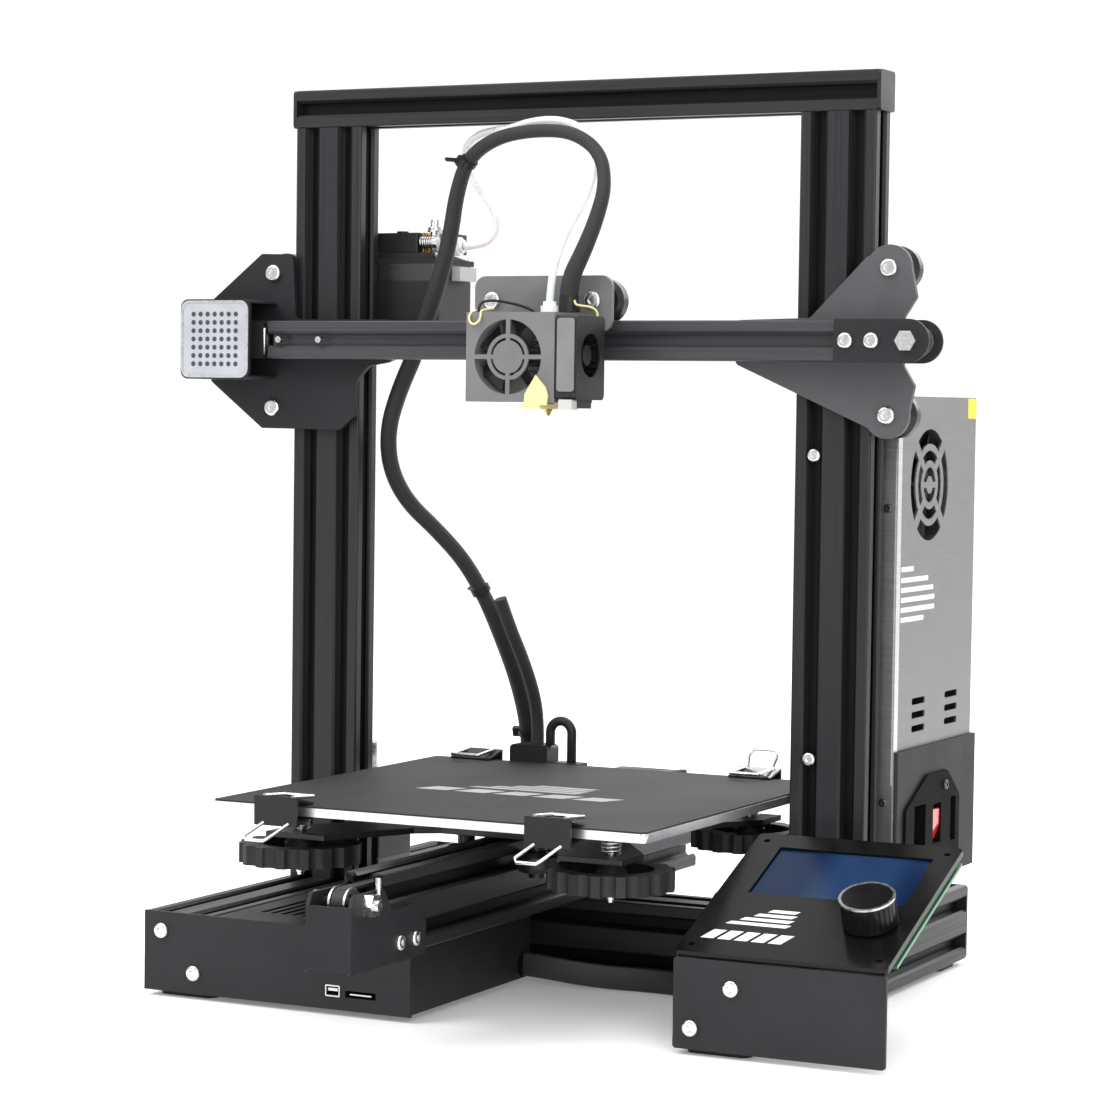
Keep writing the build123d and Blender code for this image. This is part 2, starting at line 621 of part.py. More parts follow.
def x_motor_cover():
    """The cover over the X motor's pulley, and the end switch beside it."""
    half = 21.2
    front = -45.0
    back = PLATE_BACK - PLATE
    left = X_MOTOR_X - 21.5
    right = X_MOTOR_X + 21.5
    cover = block(left, right, front, back, GANTRY_Z - half, GANTRY_Z + half)
    cover = fillet(cover.edges().filter_by(Axis.Y), 4.5)
    cover -= block(left + 2, right + 1, front + 2, back + 1, GANTRY_Z - half + 2, GANTRY_Z + half - 2)
    switch = block(-177.5, -168.5, -36.5, -30.0, GANTRY_Z - 10, GANTRY_Z + 10)
    lever = block(-168.5, -168.0, -35.5, -31.0, GANTRY_Z - 8, GANTRY_Z + 6)
    return one([cover, switch + lever])


def gantry_motors():
    """The X motor behind the left plate and the extruder's motor under the shelf."""
    x_motor = Pos(X_MOTOR_X, PLATE_BACK, GANTRY_Z) * Rot(90, 0, 0) * motor(MOTOR_LEN)
    e_motor = Pos(EXTRUDER_X, EXTRUDER_Y, SHELF_Z) * motor(MOTOR_LEN)
    right = EXTRUDER_X + MOTOR / 2
    e_motor += block(right - 1, right + 5, 28, 47, 365.5, 373)
    return one([x_motor, e_motor])


def x_idler_bracket():
    """A forked bracket on the profile's right end."""
    front = X_PROF_Y - CELL / 2
    r = 10.6
    cheek = Pos((155 + X_IDLER_X) / 2, GANTRY_Z) * Rectangle(X_IDLER_X - 155, 2 * r)
    cheek += Pos(X_IDLER_X, GANTRY_Z) * Circle(r)
    fork = sheet_xz(cheek, front - SHEET, front)
    rear = Pos((184 + X_IDLER_X) / 2, GANTRY_Z) * Rectangle(X_IDLER_X - 184, 2 * r)
    rear += Pos(X_IDLER_X, GANTRY_Z) * Circle(r)
    rear -= Pos(X_PROF_RIGHT - 10, GANTRY_Z) * Rectangle(20.6, 3 * r)
    fork += sheet_xz(rear, -17.5, -15.5)
    fork += block(184, 185.2, front - 0.5, -16, GANTRY_Z - 4.6, GANTRY_Z + 4.6)
    fork -= rod_y(AXLE_R, -40, -10, X_IDLER_X, GANTRY_Z)
    return fork


def x_belt():
    middle = (X_MOTOR_X + X_IDLER_X) / 2
    loop = Pos(middle, GANTRY_Z) * belt_loop(X_IDLER_X - X_MOTOR_X)
    return sheet_xz(loop, X_PROF_Y - BELT_HALF_W, X_PROF_Y + BELT_HALF_W)


def extruder_bracket():
    """The plate behind the left upright, its shelf for the extruder, and the screw's nut."""
    back = [
        (-134, 289), (-134, 377), (-172, 380), (-183.5, 375), (-183.5, 356), (-171.5, 356), (-171.5, 308.5),
        (-183.5, 308.5), (-183.5, 289),
    ]
    plate = sheet_xz(outline(back, 2.0), 12.5, 15.5)
    for x, z in z_wheel_spots()[:2]:
        plate -= rod_y(AXLE_R + 0.1, 12, 16, x, z)
    shelf = block(-160, -91, 15, 56, SHELF_Z, SHELF_Z + PLATE)
    shelf += block(-133.5, -91, 10.8, 15.5, SHELF_Z, SHELF_Z + PLATE)
    bracket = plate + shelf
    bracket -= rod_z(5.6, SHELF_Z - 1, SHELF_Z + 5, LEAD_X, LEAD_Y)
    bracket -= rod_z(11, SHELF_Z - 1, SHELF_Z + 5, EXTRUDER_X, EXTRUDER_Y)
    nut = rod_z(11, SHELF_Z - 3.5, SHELF_Z, LEAD_X, LEAD_Y) + rod_z(5.2, SHELF_Z - 12, SHELF_Z + 2, LEAD_X, LEAD_Y)
    nut -= rod_z(4.0 + FIT, SHELF_Z - 20, SHELF_Z + 20, LEAD_X, LEAD_Y)
    return one([bracket, nut])


def extruder_body():
    """The filament drive's base, filament block and tube fitting."""
    top = SHELF_Z + PLATE
    base = block(-131, -91, 12, 52, top, top + 3)
    base = fillet(base.edges().filter_by(Axis.Z), 3.0)
    base -= rod_z(8.0, top - 1, top + 4, EXTRUDER_X, EXTRUDER_Y)
    rear = block(-126, -93, 42, 51, top + 3, top + 14)
    guide = block(-101, -92, 30, 42.5, top + 3, top + 14)
    fitting = rod_x(5.0, -92, -86, 31, 384) + rod_x(3.6, -86, -84.2, 31, 384)
    fitting += rod_x(5.0, -93, -91, 31, 384) + block(-101, -92, 26, 31, top + 3, top + 14)
    body = base + rear + guide + fitting
    body -= rod_x(TUBE_R + 0.1, -88, -83, 31, 384)
    post = rod_z(2.6, top + 3, top + 21, -98, 24)
    knob = rod_z(4.2, top + 14.5, top + 17, -98, 24)
    return one([body, post + knob])


def z_wheel_spots():
    """The wheels beside the uprights: outer left pair, outer right pair, then the inner two."""
    outer = RAIL_X + CELL + WHEEL_OFF
    inner = RAIL_X - CELL - WHEEL_OFF
    spots = [(side * outer, GANTRY_Z + rise) for side in (-1, 1) for rise in (-Z_WHEEL_RISE, Z_WHEEL_RISE)]
    return spots + [(-inner, GANTRY_Z), (inner, GANTRY_Z)]


def gantry_screws():
    """Wheel axles, their heads and nuts, and the bolts along the profile."""
    front = PLATE_BACK - PLATE
    pieces = []
    for i, (x, z) in enumerate(z_wheel_spots()):
        rear = 15.5 if i < 2 else 6.2
        axle = rod_y(AXLE_R, front, rear + 2.2, x, z)
        axle += rod_y(4.2, rear, rear + 2.2, x, z)
        axle += rod_y(4.0, PLATE_BACK, -WHEEL_HALF_W - FIT, x, z)
        if i < 2:
            axle += rod_y(4.0, WHEEL_HALF_W + FIT, 12.5, x, z)
        if i < 4:
            axle += head_front(x, front, z, 4.6, 2.4)
        pieces.append(axle)
    cheek = X_PROF_Y - CELL / 2 - SHEET
    pieces += [head_front(x, cheek, GANTRY_Z, 4.0, 2.2) for x in (161.2, 174.6)]
    idler = rod_y(AXLE_R, cheek, -15.5, X_IDLER_X, GANTRY_Z)
    idler += sheet_xz(Pos(X_IDLER_X, GANTRY_Z) * RegularPolygon(5.4, 6), cheek - 4, cheek)
    pieces.append(idler)
    pieces += [rod_y(1.7, cheek, cheek + 3.5, x, GANTRY_Z) for x in (-159, -134.5)]
    return one(pieces)


def z_wheels():
    return one(Pos(x, 0, z) * Rot(90, 0, 0) * wheel() for x, z in z_wheel_spots())


def x_pulley():
    drum = Pos(X_MOTOR_X, X_PROF_Y, GANTRY_Z) * Rot(90, 0, 0) * pulley(4.5, 1.0)
    return drum + rod_y(AXLE_R, X_PROF_Y - 7, PLATE_BACK - 0.5, X_MOTOR_X, GANTRY_Z)


def x_idler():
    return Pos(X_IDLER_X, X_PROF_Y, GANTRY_Z) * Rot(90, 0, 0) * pulley(4.5, AXLE_R + FIT)


def extruder_gear():
    top = SHELF_Z + PLATE
    gear = Cylinder(5.6, 11)
    for i in range(20):
        gear -= Rot(0, 0, 18 * i) * Pos(5.8, 0, 0) * Box(0.8, 0.8, 12)
    return Pos(EXTRUDER_X, EXTRUDER_Y, top + 9) * gear


def extruder_lever():
    """The idler arm that presses the filament on the gear."""
    top = SHELF_Z + PLATE + 3.3
    arm = block(-129, -104, 15, 22, top, top + 10.5)
    arm += block(-129, -119.5, 15, 41, top, top + 10.5)
    arm = fillet(arm.edges().filter_by(Axis.Z), 1.2)
    roller = rod_z(4.0, top + 1, top + 10, -115.6, 23.0)
    return arm + roller + rod_z(3.2, top, top + 12.5, -124.5, 36)


# ---- print head ----
def carriage_plate():
    front = X_PROF_Y - CELL / 2 - 5.5
    back = front + PLATE
    low = 303.0
    top = 364.7
    wing = 336.5
    face = Pos((HEAD_LEFT + HEAD_RIGHT) / 2, (wing + top) / 2) * RectangleRounded(HEAD_RIGHT - HEAD_LEFT, top - wing, 6)
    face += Pos(1, (low + top) / 2) * RectangleRounded(45, top - low, 6)
    plate = sheet_xz(face, front, back)
    pieces = [plate]
    for x, z in head_wheel_spots():
        pieces.append(rod_y(4.0, back, X_PROF_Y - WHEEL_HALF_W - 0.3, x, z) - rod_y(AXLE_R + 0.1, -60, 0, x, z))
        pieces[0] = pieces[0] - rod_y(AXLE_R + 0.1, front - 1, back + 1, x, z)
    return one(pieces)


def head_wheel_spots():
    up = CELL / 2 + WHEEL_OFF
    return [
        (HEAD_X - HEAD_WHEEL_DX, GANTRY_Z + up), (HEAD_X + HEAD_WHEEL_DX, GANTRY_Z + up), (HEAD_X, GANTRY_Z - up),
    ]


def x_wheels():
    """The head's three wheels, each with its bolt."""
    front = X_PROF_Y - CELL / 2 - 5.5
    pieces = []
    for x, z in head_wheel_spots():
        pieces.append(Pos(x, X_PROF_Y, z) * Rot(90, 0, 0) * wheel())
        bolt = rod_y(AXLE_R, front - 0.1, -17.6, x, z) + rod_y(4.2, -20.2, -17.6, x, z)
        if z > GANTRY_Z:
            bolt += head_front(x, front, z, 4.6, 2.4)
        pieces.append(bolt)
    return one(pieces)


def hotend_shroud():
    """The sheet cover over the hot end, its guard, and the small fan's frame behind it."""
    x0 = SHROUD_LEFT
    x1 = SHROUD_RIGHT
    back = X_PROF_Y - CELL / 2 - 5.5
    wall = 1.5
    shroud = block(x0, x1, SHROUD_FRONT, back, SHROUD_LOW, SHROUD_TOP)
    shroud = fillet(shroud.edges().filter_by(Axis.Z)[:2], 1.0)
    shroud -= block(x0 + wall, x1 - wall, SHROUD_FRONT + wall, back + 1, SHROUD_LOW - 1, SHROUD_TOP - wall)
    shroud -= rod_z(8.0, SHROUD_TOP - 3, SHROUD_TOP + 1, NOZZLE_X, NOZZLE_Y)
    shroud -= rod_z(LOOM_R + 1, SHROUD_TOP - 3, SHROUD_TOP + 1, LOOM_LOOP_ROUTE[0][0], LOOM_LOOP_ROUTE[0][1])
    guard = arc_slots(11.4, FAN_HOLE_R, 4, 2.2, 0) + arc_slots(8.2, 9.5, 4, 2.2, 0)
    shroud -= sheet_xz(Pos(FAN_X, FAN_Z) * guard, SHROUD_FRONT - 1, SHROUD_FRONT + 3)
    y0 = SHROUD_FRONT + wall
    frame = block(FAN_X - 20, FAN_X + 20, y0, y0 + 10, FAN_Z - 20, FAN_Z + 20)
    frame -= rod_y(18.8, y0 - 1, y0 + 11, FAN_X, FAN_Z)
    frame += block(FAN_X - 19.5, FAN_X + 19.5, y0 + 8.8, y0 + 10, FAN_Z - 2, FAN_Z + 2)
    return one([shroud, frame])


def hotend_fan():
    y = SHROUD_FRONT + 1.5 + 4.6
    return Pos(FAN_X, y, FAN_Z) * Rot(90, 0, 0) * fan_rotor(8.4, 17.8, 3.4, 7)


def hotend():
    """Heat sink, heater block, nozzle, tube fitting and the cable's strain relief."""
    sink = rod_z(5.5, 308, 343, NOZZLE_X, NOZZLE_Y)
    for i in range(9):
        sink += rod_z(10.5, 312 + 3.2 * i, 313.4 + 3.2 * i, NOZZLE_X, NOZZLE_Y)
    sink += rod_z(2.2, 304, 309, NOZZLE_X, NOZZLE_Y)
    heater = block(NOZZLE_X - 7, NOZZLE_X + 6.5, -63, -47, 298.2, 306.5)
    tip = Pos(NOZZLE_X, NOZZLE_Y, (NOZZLE_TIP + 298.2) / 2) * Cone(0.6, 3.4, 298.2 - NOZZLE_TIP)
    fitting = rod_z(4.6, 343, 349, NOZZLE_X, NOZZLE_Y) + rod_z(3.4, 349, 351.2, NOZZLE_X, NOZZLE_Y)
    fitting -= rod_z(TUBE_R + 0.1, 349, 352, NOZZLE_X, NOZZLE_Y)
    loom_x, loom_y, loom_z = LOOM_LOOP_ROUTE[0]
    relief = rod_z(LOOM_R + 1.6, 346, loom_z + 2, loom_x, loom_y) & block(-10, 40, -60, -41.2, 340, 360)
    relief -= rod_z(LOOM_R + FIT, loom_z, loom_z + 3, loom_x, loom_y)
    relief -= rod_z(5.6, 340, loom_z + 3, NOZZLE_X, NOZZLE_Y)
    return one([sink + heater + tip + fitting, relief])


def blower_case():
    """The part-cooling blower on the right of the shroud, with its duct."""
    x0 = BLOWER_LEFT
    x1 = BLOWER_RIGHT
    case = block(x0, x1, BLOWER_Y - 16, BLOWER_Y + 16, 302.0, 343.5)
    case = fillet(case.edges().filter_by(Axis.X), 3.0)
    case -= rod_x(13.6, x0 + 1.4, x1 - 1.2, BLOWER_Y, BLOWER_Z)
    case -= rod_x(10.8, x1 - 2, x1 + 1, BLOWER_Y, BLOWER_Z)
    duct = block(x0 + 2, x1 - 2, -80, -64, 297.8, 302.5)
    hollow = block(x0 + 3.2, x1 - 3.2, -78.8, -65.2, 297, 312)
    return (case + duct) - hollow


def blower_rotor():
    rotor = Cylinder(5.0, 7.6)
    rotor += Pos(0, 0, -3.2) * Cylinder(12.6, 1.0)
    for i in range(18):
        rotor += Rot(0, 0, 20 * i) * Pos(11.3, 0, 0) * Rot(0, 0, 25) * Box(2.6, 0.7, 6.8)
    return Pos((BLOWER_LEFT + BLOWER_RIGHT) / 2, BLOWER_Y, BLOWER_Z) * Rot(0, 90, 0) * rotor


# ---- bed ----
def corners():
    return [(sx, sy) for sx in (-1, 1) for sy in (-1, 1)]


def bed_carriage():
    """The X-shaped carrier under the bed, with the tab that holds the belt."""
    plate = Rectangle(120, 84)
    for sx, sy in corners():
        arm = [(0, 20), (40, 50), (64, 99), (97, 99), (97, 74), (60, 20)]
        plate += outline([(sx * x, sy * y) for x, y in arm])
    plate -= Rectangle(34, 34)
    carrier = sheet_xy(Pos(0, BED_Y) * plate, CARRIER_LOW, CARRIER_TOP)
    for sx, sy in corners():
        carrier -= rod_z(2.6, CARRIER_LOW - 1, CARRIER_TOP + 1, sx * KNOB_OFF, BED_Y + sy * KNOB_OFF)
    tab = block(-2, 2, BED_Y + 18, BED_Y + 40, 79.3, CARRIER_TOP)
    return carrier + tab


def y_wheel_spots():
    x = CELL / 2 + WHEEL_OFF
    return [(sx * x, BED_Y + sy * Y_WHEEL_DY) for sx, sy in corners()]


def y_wheels():
    """The bed's four wheels, each with its spacer and bolt."""
    pieces = []
    for x, y in y_wheel_spots():
        pieces.append(Pos(x, y, Y_TOP_SLOT_Z) * wheel())
        bolt = rod_z(AXLE_R, 66.0, CARRIER_LOW, x, y) + rod_z(4.2, 65.0, 67.6, x, y)
        pieces.append(bolt + rod_z(4.4, Y_TOP_SLOT_Z + WHEEL_HALF_W + 0.3, CARRIER_LOW, x, y))
    return one(pieces)


def bed_plate():
    plate = sheet_xy(Pos(0, BED_Y) * RectangleRounded(2 * BED_HALF, 2 * BED_HALF, 3), BED_LOW, BED_TOP)
    for sx, sy in corners():
        plate -= rod_z(2.3, BED_LOW - 1, BED_TOP + 1, sx * KNOB_OFF, BED_Y + sy * KNOB_OFF)
    return plate


def build_surface():
    half = BED_HALF - 0.8
    return sheet_xy(Pos(0, BED_Y) * RectangleRounded(2 * half, 2 * half, 3), BED_TOP, SURFACE_TOP)


def bed_springs():
    """The four levelling screws and the spring round each."""
    pieces = []
    for sx, sy in corners():
        x = sx * KNOB_OFF
        y = BED_Y + sy * KNOB_OFF
        pieces.append(rod_z(2.0, 66.5, BED_TOP - 0.3, x, y))
        pieces.append(rod_z(5.0, CARRIER_TOP, BED_LOW, x, y) - rod_z(3.4, CARRIER_TOP - 1, BED_LOW + 1, x, y))
    return one(pieces)


def bed_knob(sx, sy):
    knob = Circle(KNOB_R)
    for i in range(16):
        knob -= Rot(0, 0, 22.5 * i) * Pos(KNOB_R + 1.6, 0) * Circle(4.2)
    disc = sheet_xy(knob, KNOB_LOW, KNOB_LOW + KNOB_RIM)
    disc -= rod_z(21, KNOB_LOW + 4.0, KNOB_TOP + 1, 0, 0) - rod_z(8, KNOB_LOW, KNOB_TOP + 1, 0, 0)
    disc += rod_z(7.0, KNOB_LOW, KNOB_TOP, 0, 0)
    disc -= rod_z(2.0 + FIT, KNOB_LOW - 1, KNOB_TOP + 1, 0, 0)
    return Pos(sx * KNOB_OFF, BED_Y + sy * KNOB_OFF, 0) * disc


def binder_clip(x, side):
    """A spring clip over the front (side -1) or rear (side 1) edge of the bed."""
    edge = BED_Y + side * BED_HALF
    reach = edge - side * 8
    spine = edge + side * 8
    shell = [
        (reach, SURFACE_TOP + 0.1), (reach, SURFACE_TOP + 1.1), (spine, 108.6), (spine, 94.2),
        (reach, BED_LOW - 1.1), (reach, BED_LOW - 0.1), (spine - side * 1.4, 96), (spine - side * 1.4, 107),
    ]
    body = sheet_yz(outline(shell), x - 12, x + 12)
    loop_y = edge - side * 14
    handle = rod_x(1.0, x - 8, x + 8, loop_y, 107.0)
    for dx in (-8, 8):
        handle += Pos(x + dx, loop_y, 107.0) * Sphere(1.0)
        handle += rod_between((x + dx, loop_y, 107.0), (x + dx, spine - side * 3, 108.4), 1.0)
    return [body, handle]


def rod_between(a, b, r):
    line = Line(a, b)
    return sweep(Plane(origin=line @ 0, z_dir=line % 0) * Circle(r), path=line)


def bed_clips():
    pieces = []
    for x, side in ((-75.5, -1), (71, -1), (-92, 1), (74, 1)):
        pieces += binder_clip(x, side)
    return one(pieces)


def bed_cable_clamp():
    """The clamp for the bed's cable, and the short lead that turns over into the bed."""
    rear = BED_Y + BED_HALF
    clamp = block(-72, -49, rear + 0.6, rear + 15, 99, 113)
    clamp = fillet(clamp.edges().filter_by(Axis.Y), 2.5)
    clamp += block(-72, -30, rear - 8, rear + 2.5, 96.4, BED_LOW)
    clamp += block(-46, -30, rear + 0.6, rear + 12, 96.4, 104)
    clamp -= rod_z(BED_CABLE_R + FIT, 109, 120, BED_CABLE_ROUTE[-1][0], BED_CABLE_ROUTE[-1][1])
    arch_y = rear + 6.5
    path = Line((-50, arch_y, 113), (-50, arch_y, 120))
    path += ThreePointArc((-50, arch_y, 120), (-43.5, arch_y, 126.5), (-37, arch_y, 120))
    path += Line((-37, arch_y, 120), (-37, arch_y, 104))
    lead = sweep(Plane(origin=(-50, arch_y, 113), z_dir=(0, 0, 1)) * Circle(2.6), path=path)
    return one([clamp, lead])


# ---- cords ----
def cords():
    return {
        "loom_loop": cord(LOOM_LOOP_ROUTE, LOOM_R, "loom_loop"),
        "loom_lower": cord(LOOM_LOWER_ROUTE, LOOM_R, "loom_lower"),
        "bowden_tube": cord(BOWDEN_ROUTE, TUBE_R, "bowden_tube"),
        "bed_cable": cord(BED_CABLE_ROUTE, BED_CABLE_R, "bed_cable"),
        "lcd_cable": cord(LCD_CABLE_ROUTE, LCD_CABLE_R, "lcd_cable"),
    }


def build():
    nodes = {
        make.__name__: make()
        for make in (
            base_rails, y_profile, uprights, top_bar, end_caps, electronics_case, y_tensioner, y_belt,
            frame_motors, lcd_bracket, lcd_panel, lcd_board, lcd_screen, psu_case, psu_cover, frame_screws,
            lead_screw, y_pulley, y_idler, psu_fan, encoder_shaft, encoder_knob, power_rocker,
            gantry_plates, x_profile, x_motor_cover, gantry_motors, x_idler_bracket, x_belt,
            extruder_bracket, extruder_body, gantry_screws, z_wheels, x_pulley, x_idler,
            extruder_gear, extruder_lever, carriage_plate, x_wheels, hotend_shroud, hotend_fan, hotend,
            blower_case, blower_rotor, bed_carriage, y_wheels, bed_plate, build_surface, bed_springs,
            bed_clips, bed_cable_clamp,
        )
    }
    for sx, side in ((-1, "left"), (1, "right")):
        nodes[f"bed_knob_front_{side}"] = bed_knob(sx, -1)
        nodes[f"bed_knob_rear_{side}"] = bed_knob(sx, 1)
    nodes.update(cords())
    return nodes


os.makedirs("parts", exist_ok=True)
for name, shape in build().items():
    export_step(shape, f"parts/{name}.step")
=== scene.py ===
"""The printer's looks round its CAD frame: materials, cords, small pieces, camera, stage and light."""
import math

import bmesh
import bpy
from mathutils import Matrix, Vector


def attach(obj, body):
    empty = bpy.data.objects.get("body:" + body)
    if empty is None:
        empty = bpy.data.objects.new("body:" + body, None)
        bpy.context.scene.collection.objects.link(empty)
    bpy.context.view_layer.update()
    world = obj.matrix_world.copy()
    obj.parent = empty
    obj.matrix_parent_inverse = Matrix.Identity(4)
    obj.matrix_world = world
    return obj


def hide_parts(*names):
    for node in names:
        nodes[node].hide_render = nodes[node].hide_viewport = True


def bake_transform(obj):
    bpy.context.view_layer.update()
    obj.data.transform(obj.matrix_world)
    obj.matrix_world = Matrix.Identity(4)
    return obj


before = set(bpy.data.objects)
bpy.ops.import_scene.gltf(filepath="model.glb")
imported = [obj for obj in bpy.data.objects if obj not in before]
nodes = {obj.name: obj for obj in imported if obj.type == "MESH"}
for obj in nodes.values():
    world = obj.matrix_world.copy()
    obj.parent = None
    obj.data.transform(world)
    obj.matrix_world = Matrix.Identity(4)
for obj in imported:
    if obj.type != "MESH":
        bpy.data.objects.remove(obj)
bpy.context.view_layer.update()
scene = bpy.context.scene
MM = 0.001

# Dimensions shared with the CAD, in millimetres
CELL = 20.0  # one cell of the slotted profile
RAIL_X = 145.0  # centre of each side rail and upright
RAIL_Z = 23.0
CROSS_RAIL_Y = 18.0
Y_PROFILE_Z = 63.0
TOP_BAR_Z = 456.0
GANTRY_Z = 332.3
PLATE_BACK = -12.5
NOZZLE_X = 10.0
NOZZLE_Y = -55.0
HEAD_FRONT = -85.0
SUPPLY_SIDE = 170.6
CASE_FRONT = -152.0
BED_Y = -49.0
BED_HALF = 117.5
SURFACE_Z = 103.8
CAP = 9.2  # length of a motor's alloy end caps
LOOM_R = 4.0
TUBE_R = 2.0
BED_CABLE_R = 3.5
LCD_CABLE_R = 6.2


def mm(*p):
    """A point given in millimetres, in metres."""
    return Vector([v * MM for v in p])


# ---------------------------------------------------------------- materials
class Mat:
    """A material with its Principled shader and a few shorthand node makers."""

    def __init__(self, name, color, rough=0.5, metal=0.0, **sockets):
        self.m = bpy.data.materials.new(name)
        self.m.use_nodes = True
        self.t = self.m.node_tree
        self.b = self.t.nodes["Principled BSDF"]
        self.b.inputs["Base Color"].default_value = (*color, 1)
        self.b.inputs["Roughness"].default_value = rough
        self.b.inputs["Metallic"].default_value = metal
        for key, value in sockets.items():
            self.b.inputs[key.replace("_", " ")].default_value = value
        self.color = color
        self.rough = rough

    def node(self, kind, **values):
        n = self.t.nodes.new(kind)
        for key, value in values.items():
            if hasattr(n, key):
                setattr(n, key, value)
            else:
                n.inputs[key.replace("_", " ")].default_value = value
        return n

    def link(self, a, b):
        self.t.links.new(a, b)

    def coords(self, scale=(1, 1, 1), rotation=(0, 0, 0)):
        tex = self.node("ShaderNodeTexCoord")
        mapping = self.node("ShaderNodeMapping")
        mapping.inputs["Scale"].default_value = scale
        mapping.inputs["Rotation"].default_value = rotation
        self.link(tex.outputs["Object"], mapping.inputs["Vector"])
        return mapping.outputs["Vector"]

    def noise(self, scale, detail=3.0, stretch=(1, 1, 1), roughness=0.5):
        n = self.node("ShaderNodeTexNoise", Scale=scale, Detail=detail, Roughness=roughness)
        self.link(self.coords(stretch), n.inputs["Vector"])
        return n.outputs["Fac"]

    def cells(self, scale, stretch=(1, 1, 1)):
        n = self.node("ShaderNodeTexVoronoi", Scale=scale)
        self.link(self.coords(stretch), n.inputs["Vector"])
        return n.outputs["Distance"]

    def wave(self, scale, direction="X", stretch=(1, 1, 1), rotation=(0, 0, 0)):
        n = self.node("ShaderNodeTexWave", Scale=scale, wave_type="BANDS", bands_direction=direction)
        self.link(self.coords(stretch, rotation), n.inputs["Vector"])
        return n.outputs["Fac"]

    def higher(self, a, b):
        """The higher of two sockets."""
        n = self.node("ShaderNodeMath", operation="MAXIMUM")
        self.link(a, n.inputs[0])
        self.link(b, n.inputs[1])
        return n.outputs[0]

    def spread(self, fac, low, high):
        """The middle half of fac, spread from low to high."""
        n = self.node("ShaderNodeMapRange", From_Min=0.25, From_Max=0.75, To_Min=low, To_Max=high)
        self.link(fac, n.inputs["Value"])
        return n.outputs["Result"]

    def mix(self, fac, a, b):
        """A colour between a and b, by the socket fac."""
        n = self.node("ShaderNodeMix", data_type="RGBA")
        fac_in, a_in, b_in, color_out = n.inputs[0], n.inputs[6], n.inputs[7], n.outputs[2]
        self.link(fac, fac_in)
        a_in.default_value = (*a, 1)
        b_in.default_value = (*b, 1)
        return color_out

    def vary(self, fac, amount=0.25, rough=0.08):
        """Colour and roughness that wander with fac."""
        dark = tuple(c * (1 - amount) for c in self.color)
        light = tuple(min(1, c * (1 + amount) + 0.0008) for c in self.color)
        self.link(self.mix(self.spread(fac, 0, 1), dark, light), self.b.inputs["Base Color"])
        self.link(self.spread(fac, self.rough - rough, self.rough + rough), self.b.inputs["Roughness"])
        return self

    def bump(self, height, strength, distance):
        """Adds a bump on top of any bump already there."""
        n = self.node("ShaderNodeBump", Strength=strength, Distance=distance)
        self.link(height, n.inputs["Height"])
        last = self.b.inputs["Normal"].links
        if last:
            self.link(last[0].from_socket, n.inputs["Normal"])
        self.link(n.outputs["Normal"], self.b.inputs["Normal"])
        return self


def anodised(name, axis, color=(0.0115, 0.0115, 0.0135), specular=0.3):
    """Black anodised extrusion, drawn along one axis."""
    stretch = [90.0, 90.0, 90.0]
    stretch[axis] = 1.2
    m = Mat(name, color, 0.42, 0.0, Specular_IOR_Level=specular)
    streak = m.noise(9, 4, tuple(stretch))
    m.vary(streak, 0.22, 0.07)
    m.bump(streak, 0.12, 0.00006)
    return m.bump(m.noise(4200, 2), 0.10, 0.00003).m


def powder(name, color, rough=0.55, grain=1500, strength=0.35, specular=0.22):
    """Powder coat with its fine orange peel."""
    m = Mat(name, color, rough, 0.0, Specular_IOR_Level=specular)
    m.vary(m.noise(35, 5), 0.14, 0.06)
    m.bump(m.cells(grain), strength, 0.00008)
    return m.bump(m.noise(160, 3), 0.08, 0.0001).m


def plastic(name, color, rough=0.45, grain=2600, strength=0.22, **sockets):
    """Moulded plastic with a fine grain."""
    m = Mat(name, color, rough, 0.0, **sockets)
    m.vary(m.noise(60, 4), 0.10, 0.05)
    return m.bump(m.noise(grain, 3), strength, 0.00005).m


def metal(name, color, rough=0.28, stretch=(1, 1, 1), scale=400, strength=0.10, amount=0.10):
    """Bare metal, brushed along the axis with the least stretch."""
    m = Mat(name, color, rough, 1.0)
    m.vary(m.noise(scale, 5, stretch), amount, 0.07)
    return m.bump(m.noise(scale * 4, 2, stretch), strength, 0.00004).m


def braid(name, color, pitch=0.0022):
    """A braided sleeve: two sets of fine slanted strands."""
    m = Mat(name, color, 0.62, 0.0, Sheen_Weight=0.04, Sheen_Roughness=0.5)
    one = m.wave(1 / pitch, "DIAGONAL", (1, 1, 1))
    two = m.wave(1 / pitch, "DIAGONAL", (1, 1, -1), rotation=(0.6, 0.4, 0.9))
    weave = m.higher(one, two)
    m.vary(weave, 0.35, 0.08)
    return m.bump(weave, 0.55, 0.0003).m


